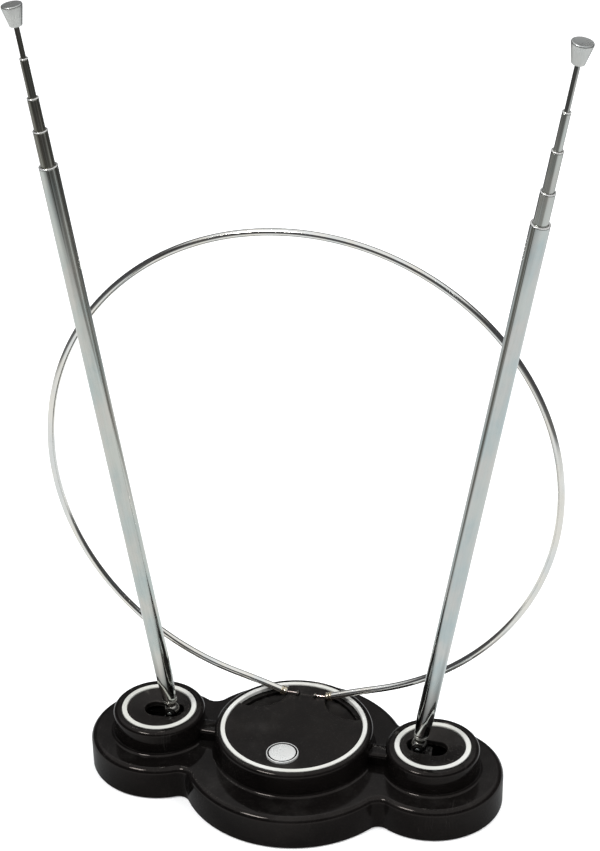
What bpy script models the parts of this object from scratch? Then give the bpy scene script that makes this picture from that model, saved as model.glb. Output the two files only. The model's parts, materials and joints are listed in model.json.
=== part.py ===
"""Table-top rabbit ears television antenna with two telescoping masts and a wire loop.

Frame: metres, +Z up, -Y towards the viewer, origin under the middle of the base on the surface
that it stands on. At rest each mast leans outwards and a little forwards with each section drawn
out by 12 to 17 mm, and the loop stands upright.
"""

from math import acos, atan2, cos, degrees, pi, radians, sin, sqrt

import bmesh
import bpy
from mathutils import Matrix, Vector

MM = 0.001
GAP = 0.3 * MM                      # air left between pieces that touch

# Base: a middle lobe and two end lobes along X
LOBE_OFFSET = 58.34 * MM
MIDDLE_RADIUS = 46.8 * MM
END_RADIUS = 29.0 * MM
NECK_FILLET = 4.5 * MM
SHELL_BOTTOM = 0.6 * MM
TIER_TOP = 15.0 * MM
TIER_ROUNDING = 2.6 * MM
WALL = 2.4 * MM
DRUM_TOP = 26.2 * MM
DRUM_ROUNDING = 1.8 * MM
MIDDLE_DRUM_RADIUS = 32.8 * MM
END_DRUM_RADIUS = 19.2 * MM
FOOT_COVE = 1.6 * MM                # concave rounding where a drum meets the tier
BRIDGE_TOP = 20.2 * MM
BRIDGE_HALF_WIDTH = 4.2 * MM
LEDGE_TOP = 24.4 * MM               # the step that rings and discs sit on
LEDGE_THICKNESS = 2.2 * MM

# Trim rings and the inserts inside them
MIDDLE_RING = (28.5 * MM, 30.36 * MM)
END_RING = (13.5 * MM, 15.6 * MM)
MIDDLE_OPENING = 26.5 * MM
END_OPENING = 12.0 * MM
DISC_TOP = 26.0 * MM
DISC_THICKNESS = 4.2 * MM
POCKET_CENTRE = (21.0 * MM, 22.0 * MM)
POCKET_RADIUS = 12.7 * MM
POCKET_FLOOR = 23.2 * MM
DISH_EDGE = 25.9 * MM
DISH_MIDDLE = 24.1 * MM
DISH_UNDERSIDE = 22.7 * MM
SLOT_LENGTH = 16.6 * MM
SLOT_WIDTH = 9.2 * MM
SLOT_INSET = 2.3 * MM               # slot centre from lobe centre, towards the middle
BADGE_RADIUS = 6.6 * MM
BADGE_Y = -18.8 * MM

# Underside and the pieces inside
PLATE_Z = (1.5 * MM, 3.1 * MM)
PAD_THICKNESS = 1.2 * MM
MIDDLE_PAD_RADIUS = 34.0 * MM
END_PAD_RADIUS = 17.0 * MM
SCREW_PLACE = (41.0 * MM, 12.0 * MM)
SCREW_RADIUS = 1.2 * MM
BOSS_RADIUS = 3.0 * MM
BALLAST_RADIUS = 26.0 * MM
BALLAST_TOP = 12.5 * MM
BOARD_HALF_LENGTH = 13.0 * MM
BOARD_Y = (4.0 * MM, 26.0 * MM)
BOARD_Z = (12.8 * MM, 14.4 * MM)
GLAND_Z = 7.9 * MM
GLAND_BORE = 3.0 * MM

# Wire loop, hinged on two thin pins that lie across the middle disc
LOOP_AXIS_Y = 21.5 * MM
LOOP_AXIS_Z = 26.6 * MM
LOOP_RADIUS = 104.3 * MM
LOOP_CENTRE_X = -1.5 * MM
LOOP_CENTRE_Z = 133.5 * MM
LOOP_ROD_RADIUS = 1.5 * MM
LOOP_END_X = 8.8 * MM
LOOP_BEND_X = 30.0 * MM             # where the ends begin to dip towards the pins
LOOP_PIN_RADIUS = 0.55 * MM
LOOP_PIN_INNER_X = 3.4 * MM
CONTACT_X = (3.4 * MM, 4.1 * MM)
CONTACT_RADIUS = 1.1 * MM

# Masts: each rocks fore and aft on its cradle and folds outwards on its hinge pin
PIVOT_X = 52.7 * MM
PIVOT_Z = 25.5 * MM
BALL_RADIUS = 3.4 * MM
BALL_HALF_WIDTH = 2.35 * MM
HINGE_PIN_RADIUS = 0.9 * MM
EAR_Y = (2.5 * MM, 3.5 * MM)
EAR_RADIUS = 2.0 * MM
SADDLE_RADIUS = 7.0 * MM            # rocking surface, about the X axis through the pivot
SADDLE_FLOOR = -3.8 * MM
CRADLE_THICKNESS = 2.0 * MM
CRADLE_HALF_LENGTH = 4.5 * MM
CRADLE_HALF_ANGLE = 50.0            # degrees
LEANS = {"left": (-6.52, 4.25), "right": (10.05, 6.06)}     # degrees outwards, forwards

# Mast sections from the outermost inwards: outer radius, wall, length
SECTION_RADII = [3.5 * MM, 2.7 * MM, 2.1 * MM, 1.5 * MM, 0.95 * MM]
SECTION_WALLS = [0.3 * MM, 0.25 * MM, 0.25 * MM, 0.25 * MM]
MAST_TUBE_START = 6.5 * MM
MAST_TUBE_TOP = 250.3 * MM
SECTION_LENGTHS = [MAST_TUBE_TOP - MAST_TUBE_START, 236.0 * MM, 232.0 * MM, 228.0 * MM, 224.0 * MM]
TAPER_END = 15.5 * MM
TAPER_RADIUS = 3.05 * MM
EXPOSED = {                         # how far each inner section stands out at rest
    "left": [13.8 * MM, 12.4 * MM, 14.7 * MM, 11.6 * MM],
    "right": [12.5 * MM, 15.6 * MM, 14.4 * MM, 16.9 * MM],
}
LIP_HEIGHT = 1.2 * MM
LIP_CLEARANCE = 0.15 * MM
SLEEVE_LENGTH = 9.0 * MM
SLEEVE_CLEARANCE = 0.08 * MM
CAP_LENGTH = 8.0 * MM
CAP_RADII = (2.25 * MM, 3.95 * MM)

SIDES = {"left": -1, "right": 1}
ROUND_STEPS = 12                    # facets round small pieces
DRUM_STEPS = 40
END_STEPS = 28

# Material name: colour, roughness, metallic
FINISHES = {
    "black_gloss": ((0.012, 0.011, 0.012), 0.12, 0.0),
    "black_satin": ((0.030, 0.029, 0.030), 0.45, 0.0),
    "ivory": ((0.86, 0.85, 0.80), 0.35, 0.0),
    "chrome": ((0.80, 0.80, 0.80), 0.12, 1.0),
    "dark_chrome": ((0.42, 0.41, 0.38), 0.25, 1.0),
    "satin_metal": ((0.55, 0.55, 0.54), 0.35, 1.0),
    "brass": ((0.75, 0.56, 0.25), 0.3, 1.0),
    "steel": ((0.50, 0.50, 0.50), 0.35, 1.0),
    "cast_iron": ((0.12, 0.12, 0.12), 0.7, 0.8),
    "rubber": ((0.03, 0.03, 0.03), 0.85, 0.0),
    "fibre_board": ((0.35, 0.20, 0.10), 0.6, 0.0),
    "ferrite": ((0.08, 0.08, 0.085), 0.6, 0.0),
    "wire_cover": ((0.35, 0.06, 0.05), 0.5, 0.0),
}


# ---------------------------------------------------------------- helpers

def clear_scene():
    for item in list(bpy.data.objects):
        bpy.data.objects.remove(item, do_unlink=True)


def finish(name):
    """The Principled material of that name, made on first use."""
    material = bpy.data.materials.get(name)
    if material:
        return material
    colour, roughness, metallic = FINISHES[name]
    material = bpy.data.materials.new(name)
    material.use_nodes = True
    shader = material.node_tree.nodes["Principled BSDF"]
    shader.inputs["Base Color"].default_value = (*colour, 1.0)
    shader.inputs["Roughness"].default_value = roughness
    shader.inputs["Metallic"].default_value = metallic
    return material


def make_object(name, bm, material, parent=None, location=(0, 0, 0)):
    """Turn a bmesh into a named object with a material, smooth where it is round."""
    bmesh.ops.remove_doubles(bm, verts=bm.verts, dist=1e-7)
    bmesh.ops.recalc_face_normals(bm, faces=bm.faces)
    mesh = bpy.data.meshes.new(name)
    bm.to_mesh(mesh)
    bm.free()
    mesh.shade_smooth()
    mesh.set_sharp_from_angle(angle=radians(35))
    mesh.materials.append(finish(material))
    item = bpy.data.objects.new(name, mesh)
    item.location = location
    item.parent = parent
    bpy.context.scene.collection.objects.link(item)
    return item


def make_empty(name, location, rotation=(0, 0, 0), parent=None):
    """A joint's axis: an empty that the moving pieces are parented to."""
    item = bpy.data.objects.new(name, None)
    item.location = location
    item.rotation_euler = rotation
    item.parent = parent
    bpy.context.scene.collection.objects.link(item)
    return item


def combine(target, bm, operation, parent=None, location=(0, 0, 0)):
    """Join a shape to an object, or cut it out, with a Boolean modifier."""
    tool = make_object(f"{target.name}_tool", bm, "steel", parent, location)
    tool.hide_render = True
    tool.display_type = "WIRE"
    modifier = target.modifiers.new(operation.title(), "BOOLEAN")
    modifier.operation = operation
    modifier.solver = "MANIFOLD"
    modifier.object = tool


def turned(profile, steps=ROUND_STEPS, axis="Z"):
    """Spin a closed profile of (radius, height) points once round an axis."""
    bm = bmesh.new()
    points = [bm.verts.new((radius, 0, height)) for radius, height in profile]
    edges = [bm.edges.new(pair) for pair in zip(points, points[1:] + points[:1])]
    bmesh.ops.spin(bm, geom=points + edges, cent=(0, 0, 0), axis=(0, 0, 1),
                   angle=2 * pi, steps=steps, use_merge=True)
    bmesh.ops.remove_doubles(bm, verts=bm.verts, dist=1e-7)
    slivers = [face for face in bm.faces if face.calc_area() < 1e-14]
    bmesh.ops.delete(bm, geom=slivers, context="FACES_ONLY")
    loose = [edge for edge in bm.edges if not edge.link_faces]
    bmesh.ops.delete(bm, geom=loose, context="EDGES")
    turns = {"X": Matrix.Rotation(pi / 2, 4, "Y"), "Y": Matrix.Rotation(-pi / 2, 4, "X")}
    if axis in turns:
        bmesh.ops.transform(bm, matrix=turns[axis], verts=bm.verts)
    return bm


def extruded(outline, low, high, axis="Z"):
    """Extrude a closed outline between two levels along an axis.

    The outline's two numbers are (x, y) for Z, (y, z) for X and (x, z) for Y.
    """
    place = {
        "Z": lambda a, b: (a, b, low),
        "X": lambda a, b: (low, a, b),
        "Y": lambda a, b: (a, low, b),
    }[axis]
    direction = {"Z": (0, 0, 1), "X": (1, 0, 0), "Y": (0, 1, 0)}[axis]
    bm = bmesh.new()
    face = bm.faces.new([bm.verts.new(place(a, b)) for a, b in outline])
    top = bmesh.ops.extrude_face_region(bm, geom=[face])["geom"]
    moved = [element for element in top if isinstance(element, bmesh.types.BMVert)]
    bmesh.ops.translate(bm, verts=moved, vec=Vector(direction) * (high - low))
    return bm


def block(low, high):
    """A box between two corners."""
    corners = [(low[0], low[1]), (high[0], low[1]), (high[0], high[1]), (low[0], high[1])]
    return extruded(corners, low[2], high[2])


def arc(centre, radius, start, end, steps):
    """Points round a circle from one angle to another, in degrees, both ends included."""
    angles = [radians(start + (end - start) * i / steps) for i in range(steps + 1)]
    return [(centre[0] + radius * cos(a), centre[1] + radius * sin(a)) for a in angles]


def lobed_outline(inset=0.0):
    """The base's outline: three circles along X joined by small fillets."""
    middle, end, fillet = MIDDLE_RADIUS - inset, END_RADIUS - inset, NECK_FILLET + inset
    neck_x = ((middle + fillet) ** 2 - (end + fillet) ** 2 + LOBE_OFFSET ** 2) / (2 * LOBE_OFFSET)
    neck_y = sqrt((middle + fillet) ** 2 - neck_x ** 2)
    on_middle = degrees(atan2(neck_y, neck_x))
    on_end = degrees(atan2(neck_y, neck_x - LOBE_OFFSET))
    half = arc((LOBE_OFFSET, 0), end, 0, on_end, 12)[1:]
    half += arc((neck_x, neck_y), fillet, on_end + 180, on_middle + 180, 4)[1:-1]
    half += arc((0, 0), middle, on_middle, 90, 7)
    quarter_back = [(-x, y) for x, y in reversed(half[:-1])]
    rear = half + quarter_back
    front = [(-x, -y) for x, y in rear]
    return [(LOBE_OFFSET + end, 0)] + rear + [(-LOBE_OFFSET - end, 0)] + front


def rounded_top(radius, top, rounding, steps=2):
    """Profile points round a convex top edge, from the wall to the top face."""
    return arc((radius - rounding, top - rounding), rounding, 0, 90, steps)


def mirrored_x(side, value):
    return SIDES[side] * value


# ---------------------------------------------------------------- base

def drum_solid(radius):
    """A drum with a rounded rim and a coved foot, as a solid to be hollowed later."""
    cove_centre = (radius + FOOT_COVE, TIER_TOP + FOOT_COVE)
    cove = arc(cove_centre, FOOT_COVE, 255, 180, 1)
    outer = [(cove[0][0], 13.5 * MM)] + cove + rounded_top(radius, DRUM_TOP, DRUM_ROUNDING)
    return [(0, 13.5 * MM)] + outer + [(0, DRUM_TOP)]


def drum_hollow(radius, opening, ring_outer):
    """The space inside a drum: a wide chamber, the ledge's opening and the ring's recess."""
    chamber = radius - WALL
    ledge_bottom = LEDGE_TOP - LEDGE_THICKNESS
    recess = ring_outer + GAP
    return [(0, 10.5 * MM), (chamber, 10.5 * MM), (chamber, ledge_bottom), (opening, ledge_bottom),
            (opening, LEDGE_TOP), (recess, LEDGE_TOP), (recess, 28 * MM), (0, 28 * MM)]


def build_base_shell():
    """The one-piece glossy moulding: lobed tier, three drums, two bridges and screw bosses."""
    bm = extruded(lobed_outline(), SHELL_BOTTOM, TIER_TOP)
    rim = [edge for edge in bm.edges if all(v.co.z > TIER_TOP - GAP for v in edge.verts)]
    bmesh.ops.bevel(bm, geom=rim, offset=TIER_ROUNDING, segments=2, profile=0.5, affect="EDGES")
    shell = make_object("base_shell", bm, "black_gloss")

    def join(shape, location=(0, 0, 0)):
        combine(shell, shape, "UNION", location=location)

    def cut(shape, location=(0, 0, 0)):
        combine(shell, shape, "DIFFERENCE", location=location)

    join(turned(drum_solid(MIDDLE_DRUM_RADIUS), DRUM_STEPS))
    for side in SIDES:
        place = (mirrored_x(side, LOBE_OFFSET), 0, 0)
        join(turned(drum_solid(END_DRUM_RADIUS), END_STEPS), place)
    for side in SIDES:
        inner, outer = sorted((mirrored_x(side, 31 * MM), mirrored_x(side, 41 * MM)))
        bridge = block((inner, -BRIDGE_HALF_WIDTH, 12 * MM), (outer, BRIDGE_HALF_WIDTH, BRIDGE_TOP))
        long_edges = [edge for edge in bridge.edges
                      if all(v.co.z > BRIDGE_TOP - GAP for v in edge.verts)
                      and abs(edge.verts[0].co.x - edge.verts[1].co.x) > GAP]
        bmesh.ops.bevel(bridge, geom=long_edges, offset=1.6 * MM, segments=2, profile=0.5,
                        affect="EDGES")
        join(bridge)
    cut(extruded(lobed_outline(WALL), -2 * MM, TIER_TOP - WALL))
    hollow = drum_hollow(MIDDLE_DRUM_RADIUS, MIDDLE_OPENING, MIDDLE_RING[1])
    cut(turned(hollow, DRUM_STEPS))
    hollow = drum_hollow(END_DRUM_RADIUS, END_OPENING, END_RING[1])
    for side in SIDES:
        place = (mirrored_x(side, LOBE_OFFSET), 0, 0)
        cut(turned(hollow, END_STEPS), place)
    gland_hole = turned([(0, -4 * MM), (4.2 * MM, -4 * MM), (4.2 * MM, 4 * MM), (0, 4 * MM)],
                        axis="Y")
    cut(gland_hole, (0, MIDDLE_RADIUS - 1 * MM, GLAND_Z))
    hole = SCREW_RADIUS + GAP
    boss = [(hole, PLATE_Z[1] + GAP), (BOSS_RADIUS, PLATE_Z[1] + GAP), (BOSS_RADIUS, 13.4 * MM),
            (0, 13.4 * MM), (0, 11 * MM), (hole, 11 * MM)]
    for x, y in screw_places():
        join(turned(boss, 12), (x, y, 0))


def screw_places():
    x, y = SCREW_PLACE
    return [(-x, -y), (x, -y), (x, y), (-x, y)]


def build_underside():
    """The bottom plate, its screws, the rubber pads and the ballast."""
    plate = make_object("bottom_plate", extruded(lobed_outline(WALL + GAP), *PLATE_Z), "steel")
    for x, y in screw_places():
        hole = turned([(0, 0), (1.6 * MM, 0), (1.6 * MM, 5 * MM), (0, 5 * MM)], 12)
        combine(plate, hole, "DIFFERENCE", location=(x, y, 0))
    head = [(0, 0.3 * MM), (2.2 * MM, 0.3 * MM), (2.6 * MM, 0.7 * MM), (2.6 * MM, 1.2 * MM),
            (SCREW_RADIUS, 1.2 * MM), (SCREW_RADIUS, 9.5 * MM), (0, 9.5 * MM)]
    for number, (x, y) in enumerate(screw_places(), start=1):
        make_object(f"plate_screw_{number}", turned(head, 12), "steel", location=(x, y, 0))
    pads = [("middle_pad", 0, MIDDLE_PAD_RADIUS, 32), ("left_pad", -LOBE_OFFSET, END_PAD_RADIUS, 24),
            ("right_pad", LOBE_OFFSET, END_PAD_RADIUS, 24)]
    for name, x, radius, steps in pads:
        disc = [(0, 0), (radius, 0), (radius, PAD_THICKNESS), (0, PAD_THICKNESS)]
        make_object(name, turned(disc, steps), "rubber", location=(x, 0, 0))
    floor = PLATE_Z[1] + GAP
    weight = [(0, floor), (BALLAST_RADIUS, floor), (BALLAST_RADIUS, BALLAST_TOP - 1 * MM),
              (BALLAST_RADIUS - 1 * MM, BALLAST_TOP), (0, BALLAST_TOP)]
    make_object("ballast", turned(weight, 32), "cast_iron")


def build_middle_insert():
    """The satin disc with its two pockets, the ring round it and the plain badge."""
    flange, body = MIDDLE_RING[0] - GAP, MIDDLE_OPENING - GAP
    seat = LEDGE_TOP + GAP
    underside = DISC_TOP - DISC_THICKNESS
    profile = [(0, underside), (body, underside), (body, seat), (flange, seat),
               (flange, DISC_TOP - 0.3 * MM), (flange - 0.3 * MM, DISC_TOP), (0, DISC_TOP)]
    disc = make_object("middle_disc", turned(profile, DRUM_STEPS), "black_satin")
    for side in SIDES:
        scoop = [(0, POCKET_FLOOR), (POCKET_RADIUS, POCKET_FLOOR), (POCKET_RADIUS, 30 * MM),
                 (0, 30 * MM)]
        place = (mirrored_x(side, POCKET_CENTRE[0]), POCKET_CENTRE[1], 0)
        combine(disc, turned(scoop, 32), "DIFFERENCE", location=place)
    groove_radius = LOOP_PIN_RADIUS + 0.35 * MM
    groove_end = POCKET_CENTRE[0] - POCKET_RADIUS + 2 * MM
    groove = turned([(0, -groove_end), (groove_radius, -groove_end), (groove_radius, groove_end),
                     (0, groove_end)], 12, axis="X")
    combine(disc, groove, "DIFFERENCE", location=(0, LOOP_AXIS_Y, LOOP_AXIS_Z))
    for side in SIDES:
        low, high = sorted((mirrored_x(side, CONTACT_X[0] - GAP), mirrored_x(side, CONTACT_X[1] + GAP)))
        half_width = CONTACT_RADIUS + GAP
        slit = block((low, LOOP_AXIS_Y - half_width, 18 * MM), (high, LOOP_AXIS_Y + half_width, 30 * MM))
        combine(disc, slit, "DIFFERENCE")
    recess_floor = DISC_TOP - 0.9 * MM
    recess = [(0, recess_floor), (BADGE_RADIUS + GAP, recess_floor), (BADGE_RADIUS + GAP, 30 * MM),
              (0, 30 * MM)]
    combine(disc, turned(recess, 32), "DIFFERENCE", location=(0, BADGE_Y, 0))
    low, top = recess_floor + GAP, DISC_TOP + 0.6 * MM
    face = [(0, low), (BADGE_RADIUS, low), (BADGE_RADIUS, top - 0.4 * MM),
            (BADGE_RADIUS - 0.4 * MM, top), (0, top)]
    make_object("badge", turned(face, 28), "satin_metal", location=(0, BADGE_Y, 0))
    build_ring("middle_ring", MIDDLE_RING, DRUM_STEPS)


def build_ring(name, radii, steps, location=(0, 0, 0)):
    """A flat trim ring with eased top edges."""
    inner, outer = radii
    low, top, ease = LEDGE_TOP + GAP, DISC_TOP + 0.25 * MM, 0.3 * MM
    section = [(inner, low), (outer, low), (outer, top - ease), (outer - ease, top),
               (inner + ease, top), (inner, top - ease)]
    make_object(name, turned(section, steps), "ivory", location=location)


def build_end_insert(side):
    """A shallow dished disc with the slot that its mast folds into, and its ring."""
    place = (mirrored_x(side, LOBE_OFFSET), 0, 0)
    flange, body, seat = END_RING[0] - GAP, END_OPENING - GAP, LEDGE_TOP + GAP
    profile = [(0, DISH_UNDERSIDE), (body, DISH_UNDERSIDE), (body, seat), (flange, seat),
               (flange, DISH_EDGE), (0, DISH_MIDDLE)]
    dish = make_object(f"{side}_dish", turned(profile, END_STEPS), "black_satin", location=place)
    radius, run = SLOT_WIDTH / 2, (SLOT_LENGTH - SLOT_WIDTH) / 2
    outline = arc((run, 0), radius, -90, 90, 8) + arc((-run, 0), radius, 90, 270, 8)
    slot_x = mirrored_x(side, LOBE_OFFSET - SLOT_INSET)
    combine(dish, extruded(outline, 20 * MM, 30 * MM), "DIFFERENCE", location=(slot_x, 0, 0))
    build_ring(f"{side}_ring", END_RING, END_STEPS, place)


def build_cable_gland():
    """The round outlet at the back that the lead leaves through."""
    face = MIDDLE_RADIUS
    profile = [(GLAND_BORE, -4.6 * MM), (4.5 * MM, -4.6 * MM), (4.5 * MM, -3.1 * MM),
               (3.9 * MM, -3.1 * MM), (3.9 * MM, 0.3 * MM), (5.4 * MM, 0.3 * MM),
               (5.0 * MM, 1.5 * MM), (4.3 * MM, 1.8 * MM), (GLAND_BORE, 1.8 * MM)]
    make_object("cable_gland", turned(profile, axis="Y"), "rubber", location=(0, face, GLAND_Z))


# ---------------------------------------------------------------- wiring

def build_wiring():
    """The board over the ballast, the matching core, the loop's contacts and the leads."""
    make_object("terminal_board", block((-BOARD_HALF_LENGTH, BOARD_Y[0], BOARD_Z[0]),
                                        (BOARD_HALF_LENGTH, BOARD_Y[1], BOARD_Z[1])), "fibre_board")
    top = BOARD_Z[1] + GAP
    core = extruded([(-6 * MM, 13 * MM), (6 * MM, 13 * MM), (6 * MM, 19 * MM), (-6 * MM, 19 * MM)],
                    top, top + 5 * MM)
    upright = [edge for edge in core.edges
               if abs(edge.verts[0].co.z - edge.verts[1].co.z) > GAP]
    bmesh.ops.bevel(core, geom=upright, offset=2 * MM, segments=3, profile=0.5, affect="EDGES")
    make_object("matching_core", core, "ferrite")
    for side in SIDES:
        build_contact(side, top)
        build_lead(side)


def build_contact(side, foot):
    """A brass strip that stands on the board and carries one of the loop's pins."""
    low, high = sorted(mirrored_x(side, x) for x in CONTACT_X)
    outline = [(LOOP_AXIS_Y - CONTACT_RADIUS, foot), (LOOP_AXIS_Y + CONTACT_RADIUS, foot)]
    outline += arc((LOOP_AXIS_Y, LOOP_AXIS_Z), CONTACT_RADIUS, 0, 180, 8)
    strip = make_object(f"{side}_loop_contact", extruded(outline, low, high, axis="X"), "brass")
    hole = LOOP_PIN_RADIUS + 0.15 * MM
    drill = turned([(0, -2 * MM), (hole, -2 * MM), (hole, 2 * MM), (0, 2 * MM)], 12, axis="X")
    place = ((low + high) / 2, LOOP_AXIS_Y, LOOP_AXIS_Z)
    combine(strip, drill, "DIFFERENCE", location=place)


def build_lead(side):
    """The covered wire from a mast's cradle to the board, as a smooth tube."""
    knots = [(47.6, 0.0, 9.0), (44.5, 0.0, 10.4), (39.0, 1.5, 10.6), (33.0, 4.0, 10.4),
             (29.0, 5.6, 11.2), (25.5, 7.0, 14.2), (21.0, 8.0, 15.5), (15.5, 9.0, 15.7),
             (11.6, 9.0, 15.6)]
    points = [Vector((mirrored_x(side, x * MM), y * MM, z * MM)) for x, y, z in knots]
    curve = bpy.data.curves.new(f"{side}_lead", "CURVE")
    curve.dimensions = "3D"
    curve.bevel_depth = 0.8 * MM
    curve.bevel_resolution = 1
    curve.use_fill_caps = True
    curve.materials.append(finish("wire_cover"))
    smooth = smooth_path(points, 2)
    spline = curve.splines.new("POLY")
    spline.points.add(len(smooth) - 1)
    for point, place in zip(spline.points, smooth):
        point.co = (*place, 1)
    item = bpy.data.objects.new(f"{side}_lead", curve)
    bpy.context.scene.collection.objects.link(item)


def smooth_path(knots, steps):
    """Points on a smooth curve through the knots."""
    ends = [2 * knots[0] - knots[1]] + knots + [2 * knots[-1] - knots[-2]]
    path = []
    for before, start, end, after in zip(ends, ends[1:], ends[2:], ends[3:]):
        for i in range(steps):
            t = i / steps
            path.append(0.5 * (2 * start + (end - before) * t
                               + (2 * before - 5 * start + 4 * end - after) * t ** 2
                               + (3 * start - before - 3 * end + after) * t ** 3))
    return path + [knots[-1]]


# ---------------------------------------------------------------- loop

def loop_path():
    """Centre line of the loop's rod from its left end round to its right end."""
    start = atan2(-LOOP_END_X - LOOP_CENTRE_X, LOOP_RADIUS)
    end = atan2(LOOP_END_X - LOOP_CENTRE_X, LOOP_RADIUS)
    fine, coarse = radians(4), radians(8)
    left = [start - fine * i for i in range(4)]
    right = [end + fine * i for i in range(4)]
    span = left[-1] + 2 * pi - right[-1]
    count = round(span / coarse)
    round_top = [left[-1] - span * i / count for i in range(1, count)]
    path = []
    for angle in left + round_top + right[::-1]:
        x = LOOP_CENTRE_X + LOOP_RADIUS * sin(angle)
        z = LOOP_CENTRE_Z - LOOP_RADIUS * cos(angle)
        if abs(x) < LOOP_BEND_X and z < LOOP_CENTRE_Z:
            share = (LOOP_BEND_X - abs(x)) / (LOOP_BEND_X - LOOP_END_X)
            z += (LOOP_AXIS_Z - arc_end_height(x)) * min(share, 1.0) ** 2
        path.append(Vector((x, 0, z - LOOP_AXIS_Z)))
    return path


def arc_end_height(x):
    """Height of the loop's arc at the rod's end on that side, before it dips to the pins."""
    end_x = LOOP_END_X if x > 0 else -LOOP_END_X
    return LOOP_CENTRE_Z - sqrt(LOOP_RADIUS ** 2 - (end_x - LOOP_CENTRE_X) ** 2)


def build_loop():
    """The wire loop with its turned-down end pins, and the ferrules on its ends."""
    pivot = make_empty("loop_axis", (0, LOOP_AXIS_Y, LOOP_AXIS_Z))
    rod = loop_path()
    inner = Vector((LOOP_PIN_INNER_X, 0, 0))
    root = Vector((LOOP_END_X, 0, 0))
    step = Vector((0.25 * MM, 0, 0))
    path = [-inner, -root + step, -root] + rod[1:-1] + [root, root - step, inner]
    radii = [LOOP_PIN_RADIUS] * 2 + [LOOP_ROD_RADIUS] * (len(path) - 4) + [LOOP_PIN_RADIUS] * 2
    bm = swept(path, radii, 8)
    make_object("loop", bm, "chrome", parent=pivot)
    for side in SIDES:
        inner_radius, outer_radius = LOOP_ROD_RADIUS + 0.15 * MM, LOOP_ROD_RADIUS + 0.45 * MM
        tube = [(inner_radius, 0), (outer_radius, 0), (outer_radius, 2.4 * MM),
                (inner_radius, 2.4 * MM)]
        bm = turned(tube, 16, axis="X")
        run = rod[2] - rod[0] if side == "left" else rod[-3] - rod[-1]
        if side == "left":
            bmesh.ops.rotate(bm, verts=bm.verts, cent=(0, 0, 0), matrix=Matrix.Rotation(pi, 3, "Z"))
        tilt = atan2(run.z, abs(run.x))
        bmesh.ops.rotate(bm, verts=bm.verts, cent=(0, 0, 0),
                         matrix=Matrix.Rotation(-SIDES[side] * tilt, 3, "Y"))
        place = (mirrored_x(side, LOOP_END_X), 0, 0)
        make_object(f"{side}_loop_ferrule", bm, "brass", parent=pivot, location=place)


def swept(path, radii, sides):
    """A closed tube along a path that lies in the XZ plane, with a radius at each point."""
    bm = bmesh.new()
    rings = []
    for index, (point, radius) in enumerate(zip(path, radii)):
        before, after = path[max(index - 1, 0)], path[min(index + 1, len(path) - 1)]
        run = (after - before).normalized()
        across = Vector((-run.z, 0, run.x))
        ring = []
        for number in range(sides):
            angle = 2 * pi * number / sides
            ring.append(bm.verts.new(point + radius * (cos(angle) * across
                                                       + sin(angle) * Vector((0, 1, 0)))))
        rings.append([bm.edges.new(pair) for pair in zip(ring, ring[1:] + ring[:1])])
    for near, far in zip(rings, rings[1:]):
        bmesh.ops.bridge_loops(bm, edges=near + far)
    for ring in (rings[0], rings[-1]):
        bmesh.ops.contextual_create(bm, geom=ring)
    return bm


# ---------------------------------------------------------------- masts

def build_mast_mount(side):
    """The fixed cradle, the saddle that rocks in it and what holds the two together.

    Returns the empty on the hinge pin, which the mast's own pieces are parented to.
    """
    lean_out, lean_forward = LEANS[side]
    place = Vector((mirrored_x(side, PIVOT_X), 0, PIVOT_Z))
    build_cradle(side, place)
    rock = make_empty(f"{side}_rock_axis", place, (radians(lean_forward), 0, 0))
    width = EAR_RADIUS
    outline = [(-width, -9 * MM), (width, -9 * MM)] + arc((0, 0), width, 0, 180, 8)
    saddle = make_object(f"{side}_saddle", extruded(outline, -EAR_Y[1], EAR_Y[1], axis="Y"),
                         "satin_metal", parent=rock)
    bowl = turned([(0, -5 * MM), (SADDLE_RADIUS, -5 * MM), (SADDLE_RADIUS, 5 * MM), (0, 5 * MM)],
                  24, axis="X")
    combine(saddle, bowl, "INTERSECT", parent=rock)
    channel = block((-5 * MM, -EAR_Y[0], SADDLE_FLOOR), (5 * MM, EAR_Y[0], 5 * MM))
    combine(saddle, channel, "DIFFERENCE", parent=rock)
    hole = HINGE_PIN_RADIUS + 0.1 * MM
    drill = turned([(0, -6 * MM), (hole, -6 * MM), (hole, 6 * MM), (0, 6 * MM)], 12, axis="Y")
    combine(saddle, drill, "DIFFERENCE", parent=rock)
    tapped = turned([(0, -8 * MM), (1 * MM, -8 * MM), (1 * MM, -5.1 * MM), (0, -5.1 * MM)], 12)
    combine(saddle, tapped, "DIFFERENCE", parent=rock)
    build_hinge_pin(side, rock)
    build_tension_screw(side, rock)
    return make_empty(f"{side}_fold_axis", (0, 0, 0), (0, radians(lean_out), 0), parent=rock)


def build_cradle(side, place):
    """The bent bracket on the bottom plate whose trough the saddle rocks in."""
    inner, outer = SADDLE_RADIUS + GAP, SADDLE_RADIUS + GAP + CRADLE_THICKNESS
    half = CRADLE_HALF_ANGLE
    sheet, toe = 1.4 * MM, 3.6 * MM
    foot = PLATE_Z[1] + GAP - PIVOT_Z
    trough = arc((0, 0), inner, 270 - half, 270 + half, 8)
    under = arc((0, 0), outer, 270 + half - 10, 270 - half + 10, 6)
    leg, brow = under[0][0], trough[-1][1]
    right = [(leg + sheet, brow), (leg + sheet, foot + sheet), (leg + sheet + toe, foot + sheet),
             (leg + sheet + toe, foot), (leg, foot)]
    left = [(-y, z) for y, z in reversed(right)]
    outline = trough + right + under + left
    bm = extruded(outline, -CRADLE_HALF_LENGTH, CRADLE_HALF_LENGTH, axis="X")
    cradle = make_object(f"{side}_cradle", bm, "steel", location=place)
    slot = block((-1.3 * MM, -3.4 * MM, -12 * MM), (1.3 * MM, 3.4 * MM, -6 * MM))
    combine(cradle, slot, "DIFFERENCE", location=place)


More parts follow.
